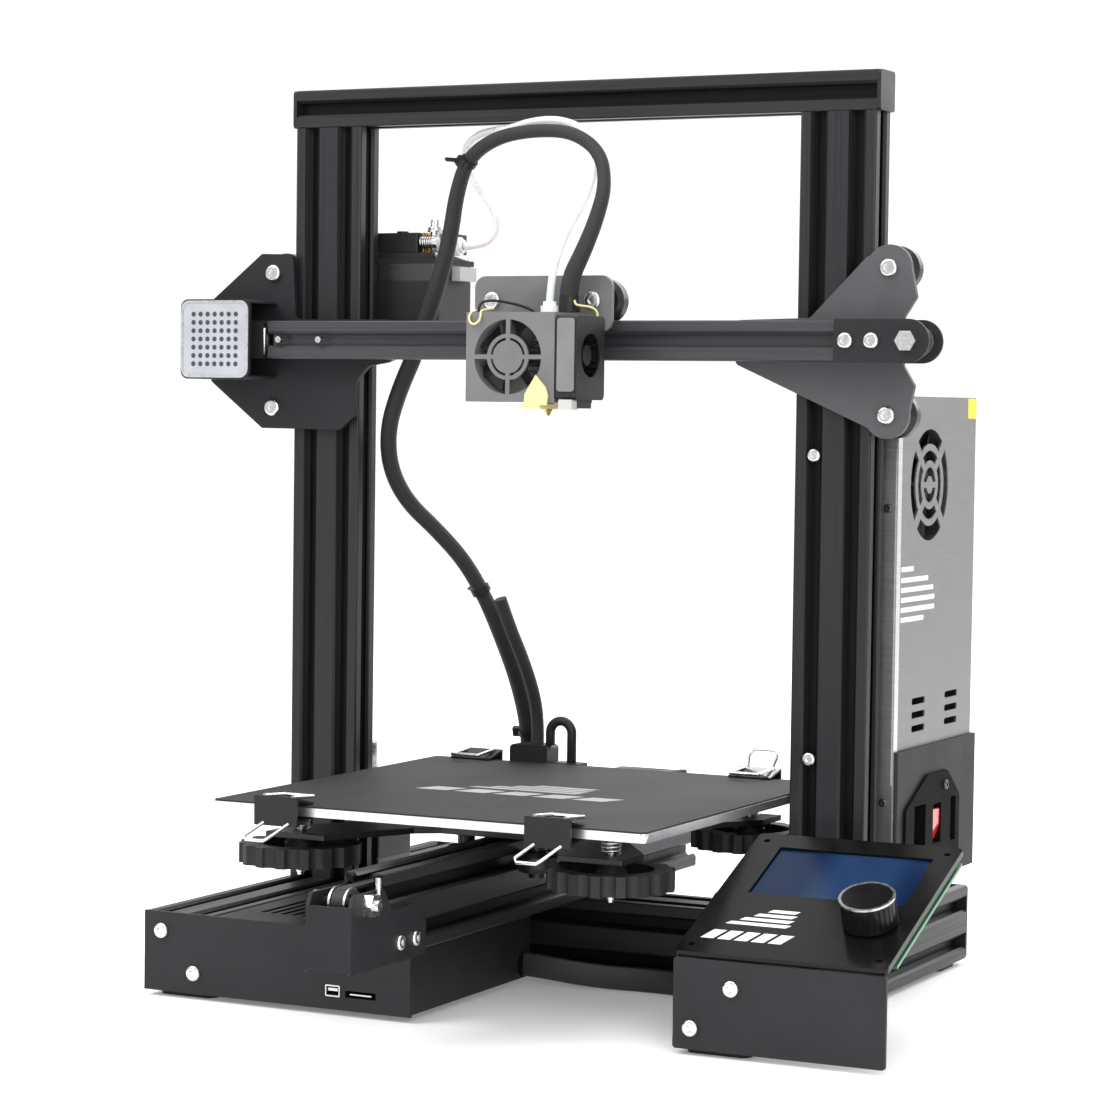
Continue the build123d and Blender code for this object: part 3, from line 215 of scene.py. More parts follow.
MATS = {
    "profile_x": anodised("anodised_x", 0),
    "profile_y": anodised("anodised_y", 1),
    "profile_z": anodised("anodised_z", 2),
    # A lighter, shinier copy of the black anodising for the gantry's X profile: painted highlight where the
    # front light falls on its face.
    "profile_gantry_lit_copy": anodised("anodised_gantry_lit_copy", 0, (0.026, 0.026, 0.030), 0.45),
    "sheet": powder("black_powder_coat", (0.0125, 0.0122, 0.0145)),
    # A lighter copy of the black powder coat: painted highlight on the right gantry plate, where the light
    # falls.
    "sheet_lit": powder("black_powder_coat_lit_copy", (0.058, 0.058, 0.063), 0.5, strength=0.3, specular=0.35),
    # A much lighter copy of the black powder coat for the carriage plate and the hotend shroud: painted
    # highlight, as the front right light falls on them.
    "sheet_head_lit_copy": powder("head_powder_coat_lit_copy", (0.125, 0.125, 0.128), 0.5, strength=0.3, specular=0.35),
    "case": powder("case_powder_coat", (0.0165, 0.0163, 0.0185), 0.52, 1100, 0.4),
    "plastic": plastic("black_plastic", (0.009, 0.009, 0.010), Specular_IOR_Level=0.3),
    "knob": plastic("knob_plastic", (0.013, 0.013, 0.014), 0.5, 1800, 0.2, Specular_IOR_Level=0.25),
    "gloss": plastic("gloss_black_panel", (0.004, 0.004, 0.0045), 0.2, 700, 0.04, Specular_IOR_Level=0.22),
    "wheel": plastic("wheel_plastic", (0.010, 0.010, 0.011), 0.34, 1200, 0.1, Specular_IOR_Level=0.35),
    "cap_alloy": metal("dark_motor_cap", (0.07, 0.07, 0.075), 0.42, scale=500),
    # Black blower plastic painted paler for its front face: painted highlight where the front light falls.
    "blower_face_painted_lit": plastic("blower_face_painted_lit", (0.15, 0.15, 0.155), 0.42, 1500, 0.15),
    "ivory": plastic("ivory_connector", (0.42, 0.42, 0.40), 0.4),
    "screw": metal("screw_steel", (0.66, 0.66, 0.67), 0.24, scale=700),
    "dark_screw": metal("dark_screw_steel", (0.10, 0.10, 0.11), 0.35, scale=700),
    "steel": metal("bright_steel", (0.62, 0.62, 0.63), 0.3),
    "carrier": metal("carrier_plate", (0.06, 0.06, 0.065), 0.45, (1, 60, 1), 40, 0.15),
    "bed_alu": metal("rolled_aluminium", (0.80, 0.80, 0.81), 0.34, (1, 40, 1), 30, 0.12),
    "psu": metal("galvanised_sheet", (0.245, 0.245, 0.245), 0.48, (1, 1, 14), 60, 0.1, 0.14),
    "brass": metal("brass", (0.78, 0.55, 0.20), 0.28, scale=900),
    "heater": plastic("heater_wrap", (0.60, 0.55, 0.25), 0.5, 900, 0.3),
    "sink": metal("sink_alloy", (0.46, 0.47, 0.49), 0.36),
    "white": plastic("white_plastic", (0.78, 0.78, 0.75), 0.38),
    "red": plastic("red_rocker", (0.55, 0.012, 0.012), 0.22, 800, 0.05, Coat_Weight=0.5),
    "green": plastic("circuit_board", (0.045, 0.17, 0.085), 0.34, 1500, 0.12, Coat_Weight=0.4),
    "yellow": plastic("yellow_sticker", (0.80, 0.62, 0.03), 0.45),
    "bright_print": plastic("white_print", (0.72, 0.72, 0.72), 0.45, 3000, 0.08),
    "soft_print": plastic("faint_print", (0.33, 0.33, 0.335), 0.55, 3000, 0.1),
    "dark_print": plastic("dark_print", (0.03, 0.03, 0.03), 0.5),
    "label": plastic("white_label", (0.33, 0.34, 0.37), 0.35, 900, 0.05, Coat_Weight=0.2),
    "braid": braid("braided_sleeve", (0.0045, 0.0045, 0.0050)),
    "ribbon": plastic("ribbon_cable", (0.020, 0.020, 0.024), 0.42, 900, 0.1),
    "spring": metal("spring_steel", (0.58, 0.58, 0.6), 0.25, scale=900),
}


def rubber_belt():
    """A black belt with its teeth."""
    m = Mat("toothed_belt", (0.009, 0.009, 0.009), 0.6)
    m.vary(m.noise(500, 3), 0.2, 0.06)
    teeth = m.wave(500 / math.tau)
    return m.bump(teeth, 0.4, 0.0003).m


def build_texture():
    """The bed's dark textured surface."""
    m = Mat("build_surface", (0.019, 0.0187, 0.0212), 0.62, 0.0, Specular_IOR_Level=0.22)
    m.vary(m.noise(16, 6), 0.10, 0.05)
    m.bump(m.cells(1900), 0.5, 0.00012)
    return m.bump(m.noise(5200, 2), 0.3, 0.00006).m


def display_glass():
    """The unlit blue display, with a pale slanted streak across its window that is a painted reflection."""
    m = Mat("blue_display", (0.006, 0.025, 0.085), 0.2, 0.0, Specular_IOR_Level=0.15)
    # Painted reflection: a broad pale slanted band mixed into the base colour.
    streak = m.spread(m.wave(4.2, "X", (1, 0, 0.35), rotation=(0, 0.35, 0)), 0, 1)
    m.link(m.mix(streak, (0.0012, 0.011, 0.043), (0.010, 0.030, 0.080)), m.b.inputs["Base Color"])
    pixels = m.higher(m.wave(320, "X"), m.wave(320, "Y"))
    return m.bump(pixels, 0.04, 0.00003).m


def clear_tube():
    """The white, slightly clear tube that guides the filament."""
    m = Mat("white_tube", (0.86, 0.87, 0.87), 0.3, 0.0, Subsurface_Weight=0.25, Transmission_Weight=0.25)
    m.vary(m.noise(90, 3), 0.06, 0.05)
    return m.bump(m.noise(700, 2), 0.05, 0.0001).m


def floor_material():
    """The pale floor, lit slightly from itself."""
    m = Mat("pale_floor", (0.87, 0.87, 0.87), 0.7, Emission_Color=(1, 1, 1, 1), Emission_Strength=0.16)
    return m.vary(m.noise(1.3, 2), 0.01, 0.02).m


MATS["belt"] = rubber_belt()
MATS["inlet"] = plastic("matt_black_inlet", (0.002, 0.002, 0.002), 0.7, Specular_IOR_Level=0.08)
# A near-black copy of the anodising for the faces inside the profiles' slots: painted shade in the recesses.
MATS["groove"] = anodised("anodised_groove", 2, (0.004, 0.004, 0.0048), 0.12)
# A bright metal for a painted highlight along the power supply side's front edge.
MATS["seam"] = metal("bright_seam", (0.62, 0.62, 0.63), 0.4, (1, 1, 14), 60, 0.08, 0.1)
MATS["surface"] = build_texture()
MATS["display"] = display_glass()
MATS["tube"] = clear_tube()

LOOK = {
    "base_rails": "profile_y", "y_profile": "profile_y", "uprights": "profile_z", "top_bar": "profile_x",
    # x_profile takes the lit copy of the anodising: painted highlight.
    "x_profile": "profile_gantry_lit_copy", "end_caps": "plastic", "electronics_case": "case", "y_tensioner": "sheet",
    "y_belt": "belt", "x_belt": "belt", "frame_motors": "plastic", "gantry_motors": "plastic",
    "lcd_bracket": "case", "lcd_panel": "gloss", "lcd_board": "green", "lcd_screen": "display",
    "psu_case": "psu", "psu_cover": "sheet", "frame_screws": "screw", "lead_screw": "steel",
    "y_pulley": "steel", "y_idler": "steel", "x_pulley": "steel", "x_idler": "steel", "psu_fan": "plastic",
    "encoder_shaft": "steel", "encoder_knob": "gloss", "power_rocker": "red", "gantry_plates": "sheet",
    "x_motor_cover": "sheet", "x_idler_bracket": "sheet", "extruder_bracket": "sheet",
    "extruder_body": "plastic", "gantry_screws": "screw", "z_wheels": "wheel", "extruder_gear": "brass",
    # carriage_plate and hotend_shroud take the lit copy of the powder coat: painted highlight.
    "extruder_lever": "plastic", "carriage_plate": "sheet_head_lit_copy", "x_wheels": "wheel",
    "hotend_shroud": "sheet_head_lit_copy", "hotend_fan": "plastic", "hotend": "sink", "blower_case": "plastic",
    "blower_rotor": "plastic",
    "bed_carriage": "carrier", "y_wheels": "wheel", "bed_plate": "bed_alu", "build_surface": "surface",
    "bed_springs": "screw", "bed_clips": "plastic", "bed_cable_clamp": "plastic",
    "bed_knob_front_left": "knob", "bed_knob_front_right": "knob", "bed_knob_rear_left": "knob",
    "bed_knob_rear_right": "knob",
}


def repaint(name, key, inside):
    """Gives the faces whose centre passes the test, in millimetres, another material."""
    obj = nodes[name]
    obj.data.materials.append(MATS[key])
    slot = len(obj.data.materials) - 1
    for face in obj.data.polygons:
        c = face.center * 1000
        if inside(c.x, c.y, c.z):
            face.material_index = slot


for name, key in LOOK.items():
    obj = nodes[name]
    obj.data.materials.clear()
    obj.data.materials.append(MATS[key])
    for face in obj.data.polygons:
        face.material_index = 0


def near(x, y, px, py, r):
    """True within r of a point."""
    return (x - px) ** 2 + (y - py) ** 2 < r * r


repaint("frame_motors", "cap_alloy", lambda x, y, z: x < -120 and (z > 83.1 - CAP or z < 43 + CAP))
repaint("frame_motors", "cap_alloy", lambda x, y, z: -60 < x < -12.9 and (x > -13 - CAP or x < -49 + CAP))
repaint("frame_motors", "sheet", lambda x, y, z: -13.01 < x < -9.9)
repaint("gantry_motors", "cap_alloy", lambda x, y, z: x < -160 and (y < PLATE_BACK + CAP or y > 27.5 - CAP))
repaint("gantry_motors", "cap_alloy", lambda x, y, z: -160 < x < -89 and (z > 374 - CAP or z < 334 + CAP))
repaint("gantry_motors", "ivory", lambda x, y, z: x > -89.6)
# The right gantry plate is painted lighter: painted highlight from the front right light, the plate being
# black like the left one.
repaint("gantry_plates", "sheet_lit", lambda x, y, z: x > 90)
repaint("x_motor_cover", "screw", lambda x, y, z: x > -168.6 and -36 < y < -30.5)
repaint("base_rails", "profile_x", lambda x, y, z: abs(x) < RAIL_X - CELL + 0.05)
repaint("gantry_screws", "dark_screw", lambda x, y, z: y > PLATE_BACK + 0.1)
repaint("y_tensioner", "screw", lambda x, y, z: x > 12.05 or x < -12.05)
repaint("lcd_board", "white", lambda x, y, z: x < 147.5 and z < 60 and y > -95)
repaint("extruder_body", "white", lambda x, y, z: x > -91.95 and z > 378)
repaint("extruder_body", "screw", lambda x, y, z: near(x, y, -98, 24, 4.4) and z > 381)
repaint("extruder_bracket", "brass", lambda x, y, z: near(x, y, -145, 33, 11.2) and z < 376.9)
repaint("hotend", "heater", lambda x, y, z: z < 306.8 and z > 298.1)
repaint("hotend", "brass", lambda x, y, z: z < 298.15)
repaint("hotend", "white", lambda x, y, z: near(x, y, NOZZLE_X, NOZZLE_Y, 5) and z > 343.1)
repaint("hotend", "plastic", lambda x, y, z: z > 345.9 and not near(x, y, NOZZLE_X, NOZZLE_Y, 5.2))
repaint("x_wheels", "screw", lambda x, y, z: y < -40.9)
repaint("frame_screws", "dark_screw", lambda x, y, z: x > 163 and y > 10)
repaint("psu_cover", "inlet", lambda x, y, z: x > SUPPLY_SIDE + 2.1
        or (x < SUPPLY_SIDE + 1.9 and 25 < y < 109 and 66 < z < 113))
CLIP_TOP = 105.2  # the clips' handles lie above this height
for clip_x, side in ((-75.5, -1), (71, -1), (-92, 1), (74, 1)):
    bar_y = BED_Y + side * (BED_HALF - 14)
    repaint("bed_clips", "spring", lambda x, y, z: z > CLIP_TOP and abs(abs(x - clip_x) - 8) < 1.7)
    repaint("bed_clips", "spring", lambda x, y, z: z > CLIP_TOP and abs(x - clip_x) < 9
            and abs(y - bar_y) < 1.3)


def in_slot(u, v, cells_u, cells_v):
    """True below the faces of a profile, given the distances from its centre line and its size in cells."""
    below = 0.7
    return abs(u) < cells_u * CELL / 2 - below and abs(v) < cells_v * CELL / 2 - below


# The faces inside the slots take the near-black copy: painted shade where the slots are hollow.
repaint("uprights", "groove", lambda x, y, z: in_slot(abs(x) - RAIL_X, y, 2, 1))
repaint("top_bar", "groove", lambda x, y, z: in_slot(y, z - TOP_BAR_Z, 1, 1))
repaint("base_rails", "groove", lambda x, y, z: in_slot(abs(x) - RAIL_X, z - RAIL_Z, 2, 2)
        or in_slot(y - CROSS_RAIL_Y, z - RAIL_Z, 2, 2))
repaint("y_profile", "groove", lambda x, y, z: in_slot(x, z - Y_PROFILE_Z, 1, 2))


def soften(obj, width):
    """Rounds a CAD node's hard edges by a width in millimetres."""
    weld = obj.modifiers.new("weld", "WELD")
    weld.merge_threshold = 0.002 * MM
    bevel = obj.modifiers.new("edge", "BEVEL")
    bevel.width = width * MM
    bevel.segments = 2
    bevel.limit_method = "ANGLE"
    bevel.angle_limit = math.radians(38)
    bevel.harden_normals = True


for name, width in (
    ("base_rails", 0.3), ("y_profile", 0.3), ("uprights", 0.3), ("top_bar", 0.3), ("x_profile", 0.3),
    ("electronics_case", 0.45), ("lcd_bracket", 0.5), ("lcd_panel", 0.5), ("psu_case", 0.4),
    ("psu_cover", 0.5), ("gantry_plates", 0.4), ("x_motor_cover", 0.4), ("y_tensioner", 0.4),
    ("carriage_plate", 0.4), ("hotend_shroud", 0.35), ("blower_case", 0.4), ("bed_plate", 0.35),
    ("end_caps", 0.5), ("extruder_bracket", 0.4), ("extruder_body", 0.5), ("bed_carriage", 0.4),
    ("x_idler_bracket", 0.3), ("power_rocker", 0.5), ("bed_cable_clamp", 0.4),
):
    soften(nodes[name], width)


# ---------------------------------------------------------------- mesh helpers
def mesh_object(name, bm, material, body, smooth):
    """An object from a mesh, smooth up to an angle in degrees, riding on a body if one is named."""
    data = bpy.data.meshes.new(name)
    bm.to_mesh(data)
    bm.free()
    obj = bpy.data.objects.new(name, data)
    scene.collection.objects.link(obj)
    data.materials.append(material)
    data.shade_smooth()
    for edge in data.edges:
        edge.use_edge_sharp = False
    data.set_sharp_from_angle(angle=math.radians(smooth))
    if body:
        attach(obj, body)
    return obj


def slab(bm, outline, low, high, place=Matrix()):
    """A prism over a closed outline, in millimetres, placed by a matrix."""
    rings = [[bm.verts.new(place @ mm(x, y, z)) for x, y in outline] for z in (low, high)]
    bm.faces.new(list(reversed(rings[0])))
    bm.faces.new(rings[1])
    count = len(outline)
    for i in range(count):
        j = (i + 1) % count
        bm.faces.new((rings[0][i], rings[0][j], rings[1][j], rings[1][i]))


def rounded(w, h, r, cx=0.0, cy=0.0, steps=5):
    """The outline of a rectangle with rounded corners."""
    points = []
    for k, (sx, sy) in enumerate(((1, 1), (-1, 1), (-1, -1), (1, -1))):
        for i in range(steps + 1):
            a = math.pi / 2 * (k + i / steps)
            x = cx + sx * (w / 2 - r) + r * math.cos(a)
            y = cy + sy * (h / 2 - r) + r * math.sin(a)
            points.append((x, y))
    return points


def circle(r, cx=0.0, cy=0.0, count=40):
    """The outline of a circle."""
    angles = [math.tau * i / count for i in range(count)]
    return [(cx + r * math.cos(a), cy + r * math.sin(a)) for a in angles]


def ring(bm, outer, inner, low, high, place=Matrix()):
    """A band between two outlines with as many points each."""
    count = len(outer)
    loops = [[bm.verts.new(place @ mm(x, y, z)) for x, y in line] for line, z in
             ((outer, low), (outer, high), (inner, high), (inner, low))]
    for a, b in zip(loops, loops[1:] + loops[:1]):
        for i in range(count):
            j = (i + 1) % count
            bm.faces.new((a[i], a[j], b[j], b[i]))


def skin(bm, rings):
    """The faces between rings of vertices, and the two ends."""
    count = len(rings[0])
    for a, b in zip(rings, rings[1:]):
        for k in range(count):
            j = (k + 1) % count
            bm.faces.new((a[k], a[j], b[j], b[k]))
    bm.faces.new(list(reversed(rings[0])))
    bm.faces.new(rings[-1])


def tangent_at(points, i):
    """The direction of a line of points at one of them."""
    return (points[min(i + 1, len(points) - 1)] - points[max(i - 1, 0)]).normalized()


def tube_mesh(bm, points, r, sides, swell=None):
    """A round tube along points given in metres; swell scales its radius along the way, from 0 to 1."""
    last = len(points) - 1
    angles = [math.tau * k / sides for k in range(sides)]
    up = tangent_at(points, 0).orthogonal().normalized()
    rings = []
    for i, p in enumerate(points):
        tangent = tangent_at(points, i)
        up = (up - tangent * up.dot(tangent)).normalized()
        side = tangent.cross(up)
        here = r * (swell(i / last) if swell else 1.0)
        rings.append([bm.verts.new(p + here * (up * math.cos(a) + side * math.sin(a))) for a in angles])
    skin(bm, rings)


PANEL_TILT = math.radians(22.4)


def on_panel():
    """Panel coordinates: x across, y up the slope, z out of the panel."""
    return Matrix.Translation(mm(0, -152, 48.5)) @ Matrix.Rotation(PANEL_TILT, 4, "X")


FRONT = Matrix.Rotation(math.radians(90), 4, "X")  # sketch x, y become x, z; z comes out of the front
RIGHT = Matrix.Rotation(math.radians(90), 4, "Z") @ Matrix.Rotation(math.radians(90), 4, "X")


# ---------------------------------------------------------------- camera
def make_camera():
    """The view's angle, distance and framing."""
    yaw = math.radians(27.09)
    pitch = math.radians(2.81)
    roll = math.radians(-0.72)
    data = bpy.data.cameras.new("camera")
    data.sensor_width = 36.0
    data.sensor_height = 36.0
    data.lens = 103.06414
    data.shift_x = 0.0573
    data.shift_y = 0.0029
    data.clip_end = 20
    cam = bpy.data.objects.new("camera", data)
    level = Vector((-math.sin(yaw), math.cos(yaw), 0)) * math.cos(pitch)
    forward = level - Vector((0, 0, math.sin(pitch)))
    right = Vector((math.cos(yaw), math.sin(yaw), 0))
    down = forward.cross(right)
    rolled_right = right * math.cos(roll) + down * math.sin(roll)
    rolled_down = down * math.cos(roll) - right * math.sin(roll)
    rotation = Matrix((rolled_right, -rolled_down, -forward)).transposed().to_4x4()
    cam.matrix_world = Matrix.Translation(mm(720.9, -1500.6, 298.6)) @ rotation
    scene.collection.objects.link(cam)
    scene.camera = cam


make_camera()

# ---------------------------------------------------------------- cords
LOOM_LOOP = [
    (18.5, -50.5, 352), (18.5, -50.5, 362), (25, -48.6, 376), (30.5, -45, 392.5), (33, -40, 410),
    (26.5, -33, 427), (8.5, -27.5, 438), (-15, -22.5, 440), (-40, -18, 437.5), (-60, -12, 427.5),
    (-69, -7, 409.5), (-73.5, -4, 389.5), (-80, -2, 368), (-87.5, -2, 347),
]
LOOM_LOWER = [
    (-87.5, -2, 347), (-94.7, -2, 326.84), (-106, 0, 306), (-115, 4, 285), (-117, 11, 264),
    (-110.5, 19, 246), (-97.5, 28, 231.5), (-85, 38.5, 214), (-77.5, 49.5, 193), (-73, 61, 171),
    (-70.5, 75, 148), (-70.5, 88, 124), (-71.5, 93.5, 101), (-71, 89.5, 80), (-69.5, 75, 63.5),
    (-68, 54, 55), (-66.5, 33, 52), (-65.5, 11, 50.8), (-65, -10, 50), (-65, -29, 50),
]
BOWDEN = [
    (-84, 31, 384), (-75, 31, 384.3), (-66, 30.4, 388), (-62.5, 28.6, 397), (-66, 25.5, 407),
    (-72.5, 21, 416.5), (-76, 15, 427), (-71.5, 8, 436), (-61, 2, 441), (-48, -3.2, 442.4),
    (-36, -8.6, 442.6), (-24, -14, 445), (-7, -16.2, 446), (8, -17.8, 441.6), (17.5, -20.5, 431.5),
    (21, -27, 417.5), (18.5, -35, 402), (13, -43, 387), (11, -50, 373.5), (10.2, -54, 362),
    (10, -55, 351),
]
BED_CABLE = [
    (-68, 47.5, 194), (-65, 53, 179), (-61.5, 60, 164), (-59, 67, 149), (-58, 73, 135), (-58, 75.5, 122.5),
    (-58, 75.5, 112.5),
]
LCD_CABLE = [
    (-12.2, -30, 11.2), (1, -29, 10.4), (16, -26, 8.4), (33, -21.5, 7), (51, -18, 6.7), (69, -18.5, 6.7),
    (86, -24, 7.2), (99, -34, 11), (105.5, -46, 19), (108, -58, 31), (109.5, -68, 43.5), (113, -74.5, 54),
    (120, -78.7, 62.2), (131, -78.7, 62.2),
]


def smooth_line(points):
    """The points of a smooth curve that these points steer, in metres."""
    data = bpy.data.curves.new("route", "CURVE")
    data.dimensions = "3D"
    line = data.splines.new("NURBS")
    line.points.add(len(points) - 1)
    for p, co in zip(line.points, points):
        p.co = (*mm(*co), 1)
    line.order_u = 3
    line.use_endpoint_u = True
    line.resolution_u = 10
    obj = bpy.data.objects.new("route", data)
    mesh = bpy.data.meshes.new_from_object(obj)
    found = [v.co.copy() for v in mesh.vertices]
    bpy.data.objects.remove(obj)
    bpy.data.curves.remove(data)
    bpy.data.meshes.remove(mesh)
    return found


def strip_mesh(bm, points, half_w, half_t):
    """A flat band on its edge along points given in metres."""
    section = rounded(2 * half_t, 2 * half_w, half_t * 0.9, steps=3)
    rings = []
    for i, p in enumerate(points):
        tangent = tangent_at(points, i)
        across = tangent.cross(Vector((0, 0, 1))).normalized()
        up = across.cross(tangent).normalized()
        rings.append([bm.verts.new(p + MM * (across * a + up * b)) for a, b in section])
    skin(bm, rings)


def cord(name, path, r, material, node, stiffness, slot, sides=18, flat=0.0, swell=None):
    """A cord along a path, in place of its CAD node: round, or a band when flat gives its half thickness."""
    bm = bmesh.new()
    if flat:
        strip_mesh(bm, path, r, flat)
    else:
        tube_mesh(bm, path, r * MM, sides, swell=swell)
    obj = mesh_object(name, bm, material, None, 60)
    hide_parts(node)
    return obj


def cut_at(path, z):
    """Splits a falling path at a height."""
    k = next(i for i, p in enumerate(path) if p.z < z)
    return path[: k + 1], path[k:]


LOOM_LOOK = {"stiffness": "medium", "slot": "sleeve_black"}
loop_path = smooth_line(LOOM_LOOP)
loop = cord("loom_loop_sleeve", loop_path, LOOM_R, MATS["braid"], "loom_loop", **LOOM_LOOK,
            swell=lambda t: 0.86 + 0.34 * max(0, 1 - 3.2 * t) + 0.3 * max(0, 2.2 * t - 1.2))
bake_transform(loop)
upper_path, lower_path = cut_at(smooth_line(LOOM_LOWER), 197 * MM)
upper = cord("loom_upper_sleeve", upper_path, LOOM_R, MATS["braid"], "loom_lower", **LOOM_LOOK,
             swell=lambda t: 1.16 - 0.12 * t)
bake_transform(upper)
lower = cord("loom_lower_sleeve", lower_path, LOOM_R, MATS["braid"], "loom_lower", **LOOM_LOOK,
             swell=lambda t: 1.04 + 0.14 * min(1, 4 * t))
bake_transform(lower)
bowden = cord("bowden_tube_white", smooth_line(BOWDEN), TUBE_R, MATS["tube"], "bowden_tube",
              stiffness="stiff", slot="tube_white", sides=14)
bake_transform(bowden)
bed_lead = cord("bed_cable_sleeve", smooth_line(BED_CABLE), BED_CABLE_R, MATS["braid"], "bed_cable",
                **LOOM_LOOK)
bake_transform(bed_lead)
lcd_lead = cord("lcd_cable_ribbon", smooth_line(LCD_CABLE), LCD_CABLE_R, MATS["ribbon"], "lcd_cable",
                stiffness="medium", slot="cable_black", flat=1.2)
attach(lcd_lead, "frame")


# ---------------------------------------------------------------- printed marks and small pieces
def plate_piece(name, outlines, low, high, place, material, body):
    """Thin flat pieces over closed outlines, in one object."""
    bm = bmesh.new()
    for points in outlines:
        slab(bm, points, low, high, place)
    mesh_object(name, bm, material, body, 40)


def facing(turn, x, y, z):
    """A sketch plane turned to face one way, with its origin at a point in millimetres."""
    return Matrix.Translation(mm(x, y, z)) @ turn


def cover_label():
    """A plain label with a rim and an even grid of dots."""
    place = facing(FRONT, -193.5, -45, GANTRY_Z)
    label = [rounded(40, 39, 4)]
    plate_piece("cover_label", label, 0.0, 0.35, place, MATS["label"], "gantry")
    bm = bmesh.new()
    ring(bm, rounded(42, 41, 5), rounded(39.4, 38.4, 4), -0.1, 0.7, place)
    mesh_object("label_rim", bm, MATS["steel"], "gantry", 40)
    pitch = 4.4
    dots = [circle(1.35, pitch * i, pitch * j, 12) for i in range(-3, 4) for j in range(-3, 4)]
    plate_piece("label_dots", dots, 0.3, 0.45, place, MATS["dark_print"], "gantry")


def slanted(x, y, w, h, lean):
    """A bar whose ends lean."""
    return [(x, y), (x + w, y), (x + w + lean, y + h), (x + lean, y + h)]


def bed_mark():
    """Pale slanted bars on the build surface."""
    place = Matrix.Translation(mm(0, -48, SURFACE_Z))
    bars = [slanted(-34 + 9 * i, -4 + 6.5 * i, 60 - 9 * i, 4.4, 3) for i in range(4)]
    bars += [slanted(-54 + 22 * i, -24, 17, 13, 6) for i in range(5)]
    plate_piece("bed_mark", bars, -0.05, 0.06, place, MATS["soft_print"], "bed")


def panel_mark():
    """Pale slanted bars on the display panel."""
    bars = [slanted(141 + 5.5 * i, 27 + 4.2 * i, 30 - 5.5 * i, 2.6, 2.2) for i in range(4)]
    bars += [slanted(134 + 8.4 * i, 13, 6.4, 8, 4) for i in range(5)]
    plate_piece("panel_mark", bars, -0.05, 0.06, on_panel(), MATS["bright_print"], "frame")


def supply_marks():
    """A yellow sticker, rows of plain bars, and a painted highlight along the front edge, on the power
    supply's side.
    """
    place = facing(RIGHT, SUPPLY_SIDE, 0, 0)
    sticker = [rounded(13.4, 10.5, 0.8, 126.8, 300.2)]
    plate_piece("supply_sticker", sticker, 0.0, 0.12, place, MATS["yellow"], "frame")
    rows = ((18, 219), (40, 213.5), (48, 208.5), (50, 203.5), (50, 198.5), (34, 193.5))
    bars = [rounded(length, 2.5, 0.5, 22 + length / 2, z) for length, z in rows]
    plate_piece("supply_print", bars, 0.0, 0.08, place, MATS["bright_print"], "frame")
    # A painted highlight: a bright strip along the side's front edge, where its rounded edge catches the
    # light.
    seam = [rounded(5.5, 236, 0.5, 16.9, 183)]
    plate_piece("supply_seam", seam, -0.3, 0.35, place, MATS["seam"], "frame")


def knob_rim():
    """The bright rim round the encoder's knob."""
    bm = bmesh.new()
    place = on_panel() @ Matrix.Translation(mm(209.5, 37, 0))
    ring(bm, circle(13.2, count=64), circle(11.9, count=64), 14.2, 15.15, place)
    mesh_object("encoder_rim", bm, MATS["screw"], "encoder_knob", 40)


def usb_shell():
    """The socket's metal shell and tongue, and the edge of the card in its slot."""
    place = facing(FRONT, -55.5, CASE_FRONT, 12.25)
    bm = bmesh.new()
    ring(bm, rounded(8.2, 5.7, 0.6), rounded(6.9, 4.4, 0.4), -4.0, 0.25, place)
    slab(bm, rounded(5.4, 1.4, 0.3, 0, 0.6), -4.0, -0.3, place)
    mesh_object("usb_shell", bm, MATS["steel"], "frame", 40)
    card = facing(FRONT, -40, CASE_FRONT, 11.25)
    plate_piece("card_edge", [rounded(12, 0.7, 0.2)], -1.2, -0.3, card, MATS["steel"], "frame")


def helix(x, y, z, r, height, turns, axis="Z"):
    """Points on a coil that starts round a point and runs along an axis."""
    steps = 20
    points = []
    for i in range(int(turns * steps) + 1):
        a = math.tau * i / steps
        along = height * i / (turns * steps)
        if axis == "Z":
            points.append(mm(x + r * math.cos(a), y + r * math.sin(a), z + along))
        else:
            points.append(mm(x + along, y + r * math.cos(a), z + r * math.sin(a)))
    return points


def level_springs():
    """Coil springs round the levelling screws."""
    bm = bmesh.new()
    for x in (-85, 85):
        for y in (-134, 36):
            tube_mesh(bm, helix(x, y, 88.1, 4.2, 10.0, 5.5), 0.7 * MM, 8)
            tube_mesh(bm, [mm(x, y, 66.5), mm(x, y, 102.6)], 2.0 * MM, 20)
            tube_mesh(bm, [mm(x, y, 65.0), mm(x, y, 66.6)], 1.5 * MM, 20)
    obj = mesh_object("level_springs", bm, MATS["spring"], "bed", 50)
    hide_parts("bed_springs")


def wire(name, points, r, material):
    """A thin wire on the print head, along a smooth curve steered by points."""
    bm = bmesh.new()
    tube_mesh(bm, smooth_line(points), r * MM, 10)
    mesh_object(name, bm, MATS[material], "carriage", 50)


def clip_handles():
    """Wire handles that hang under the front clips, and one that is raised on a rear clip."""
    bm = bmesh.new()
    for x in (-75.5, 71.0):
        end_x = x - 6.0
        hanging = [
            (x - 7, -174, 95.5), (end_x - 7, -182, 89.5), (end_x - 5, -184, 88), (end_x + 5, -184, 88),
            (end_x + 7, -182, 89.5), (x + 7, -174, 95.5),
        ]
        tube_mesh(bm, [mm(*p) for p in hanging], 0.9 * MM, 10)
    raised = [(67, 76, 108), (66, 80, 114), (68, 82.4, 117), (80, 82.4, 117), (82, 80, 114), (81, 76, 108)]
    tube_mesh(bm, [mm(*p) for p in raised], 0.8 * MM, 10)
    mesh_object("clip_handles", bm, MATS["spring"], "bed", 50)


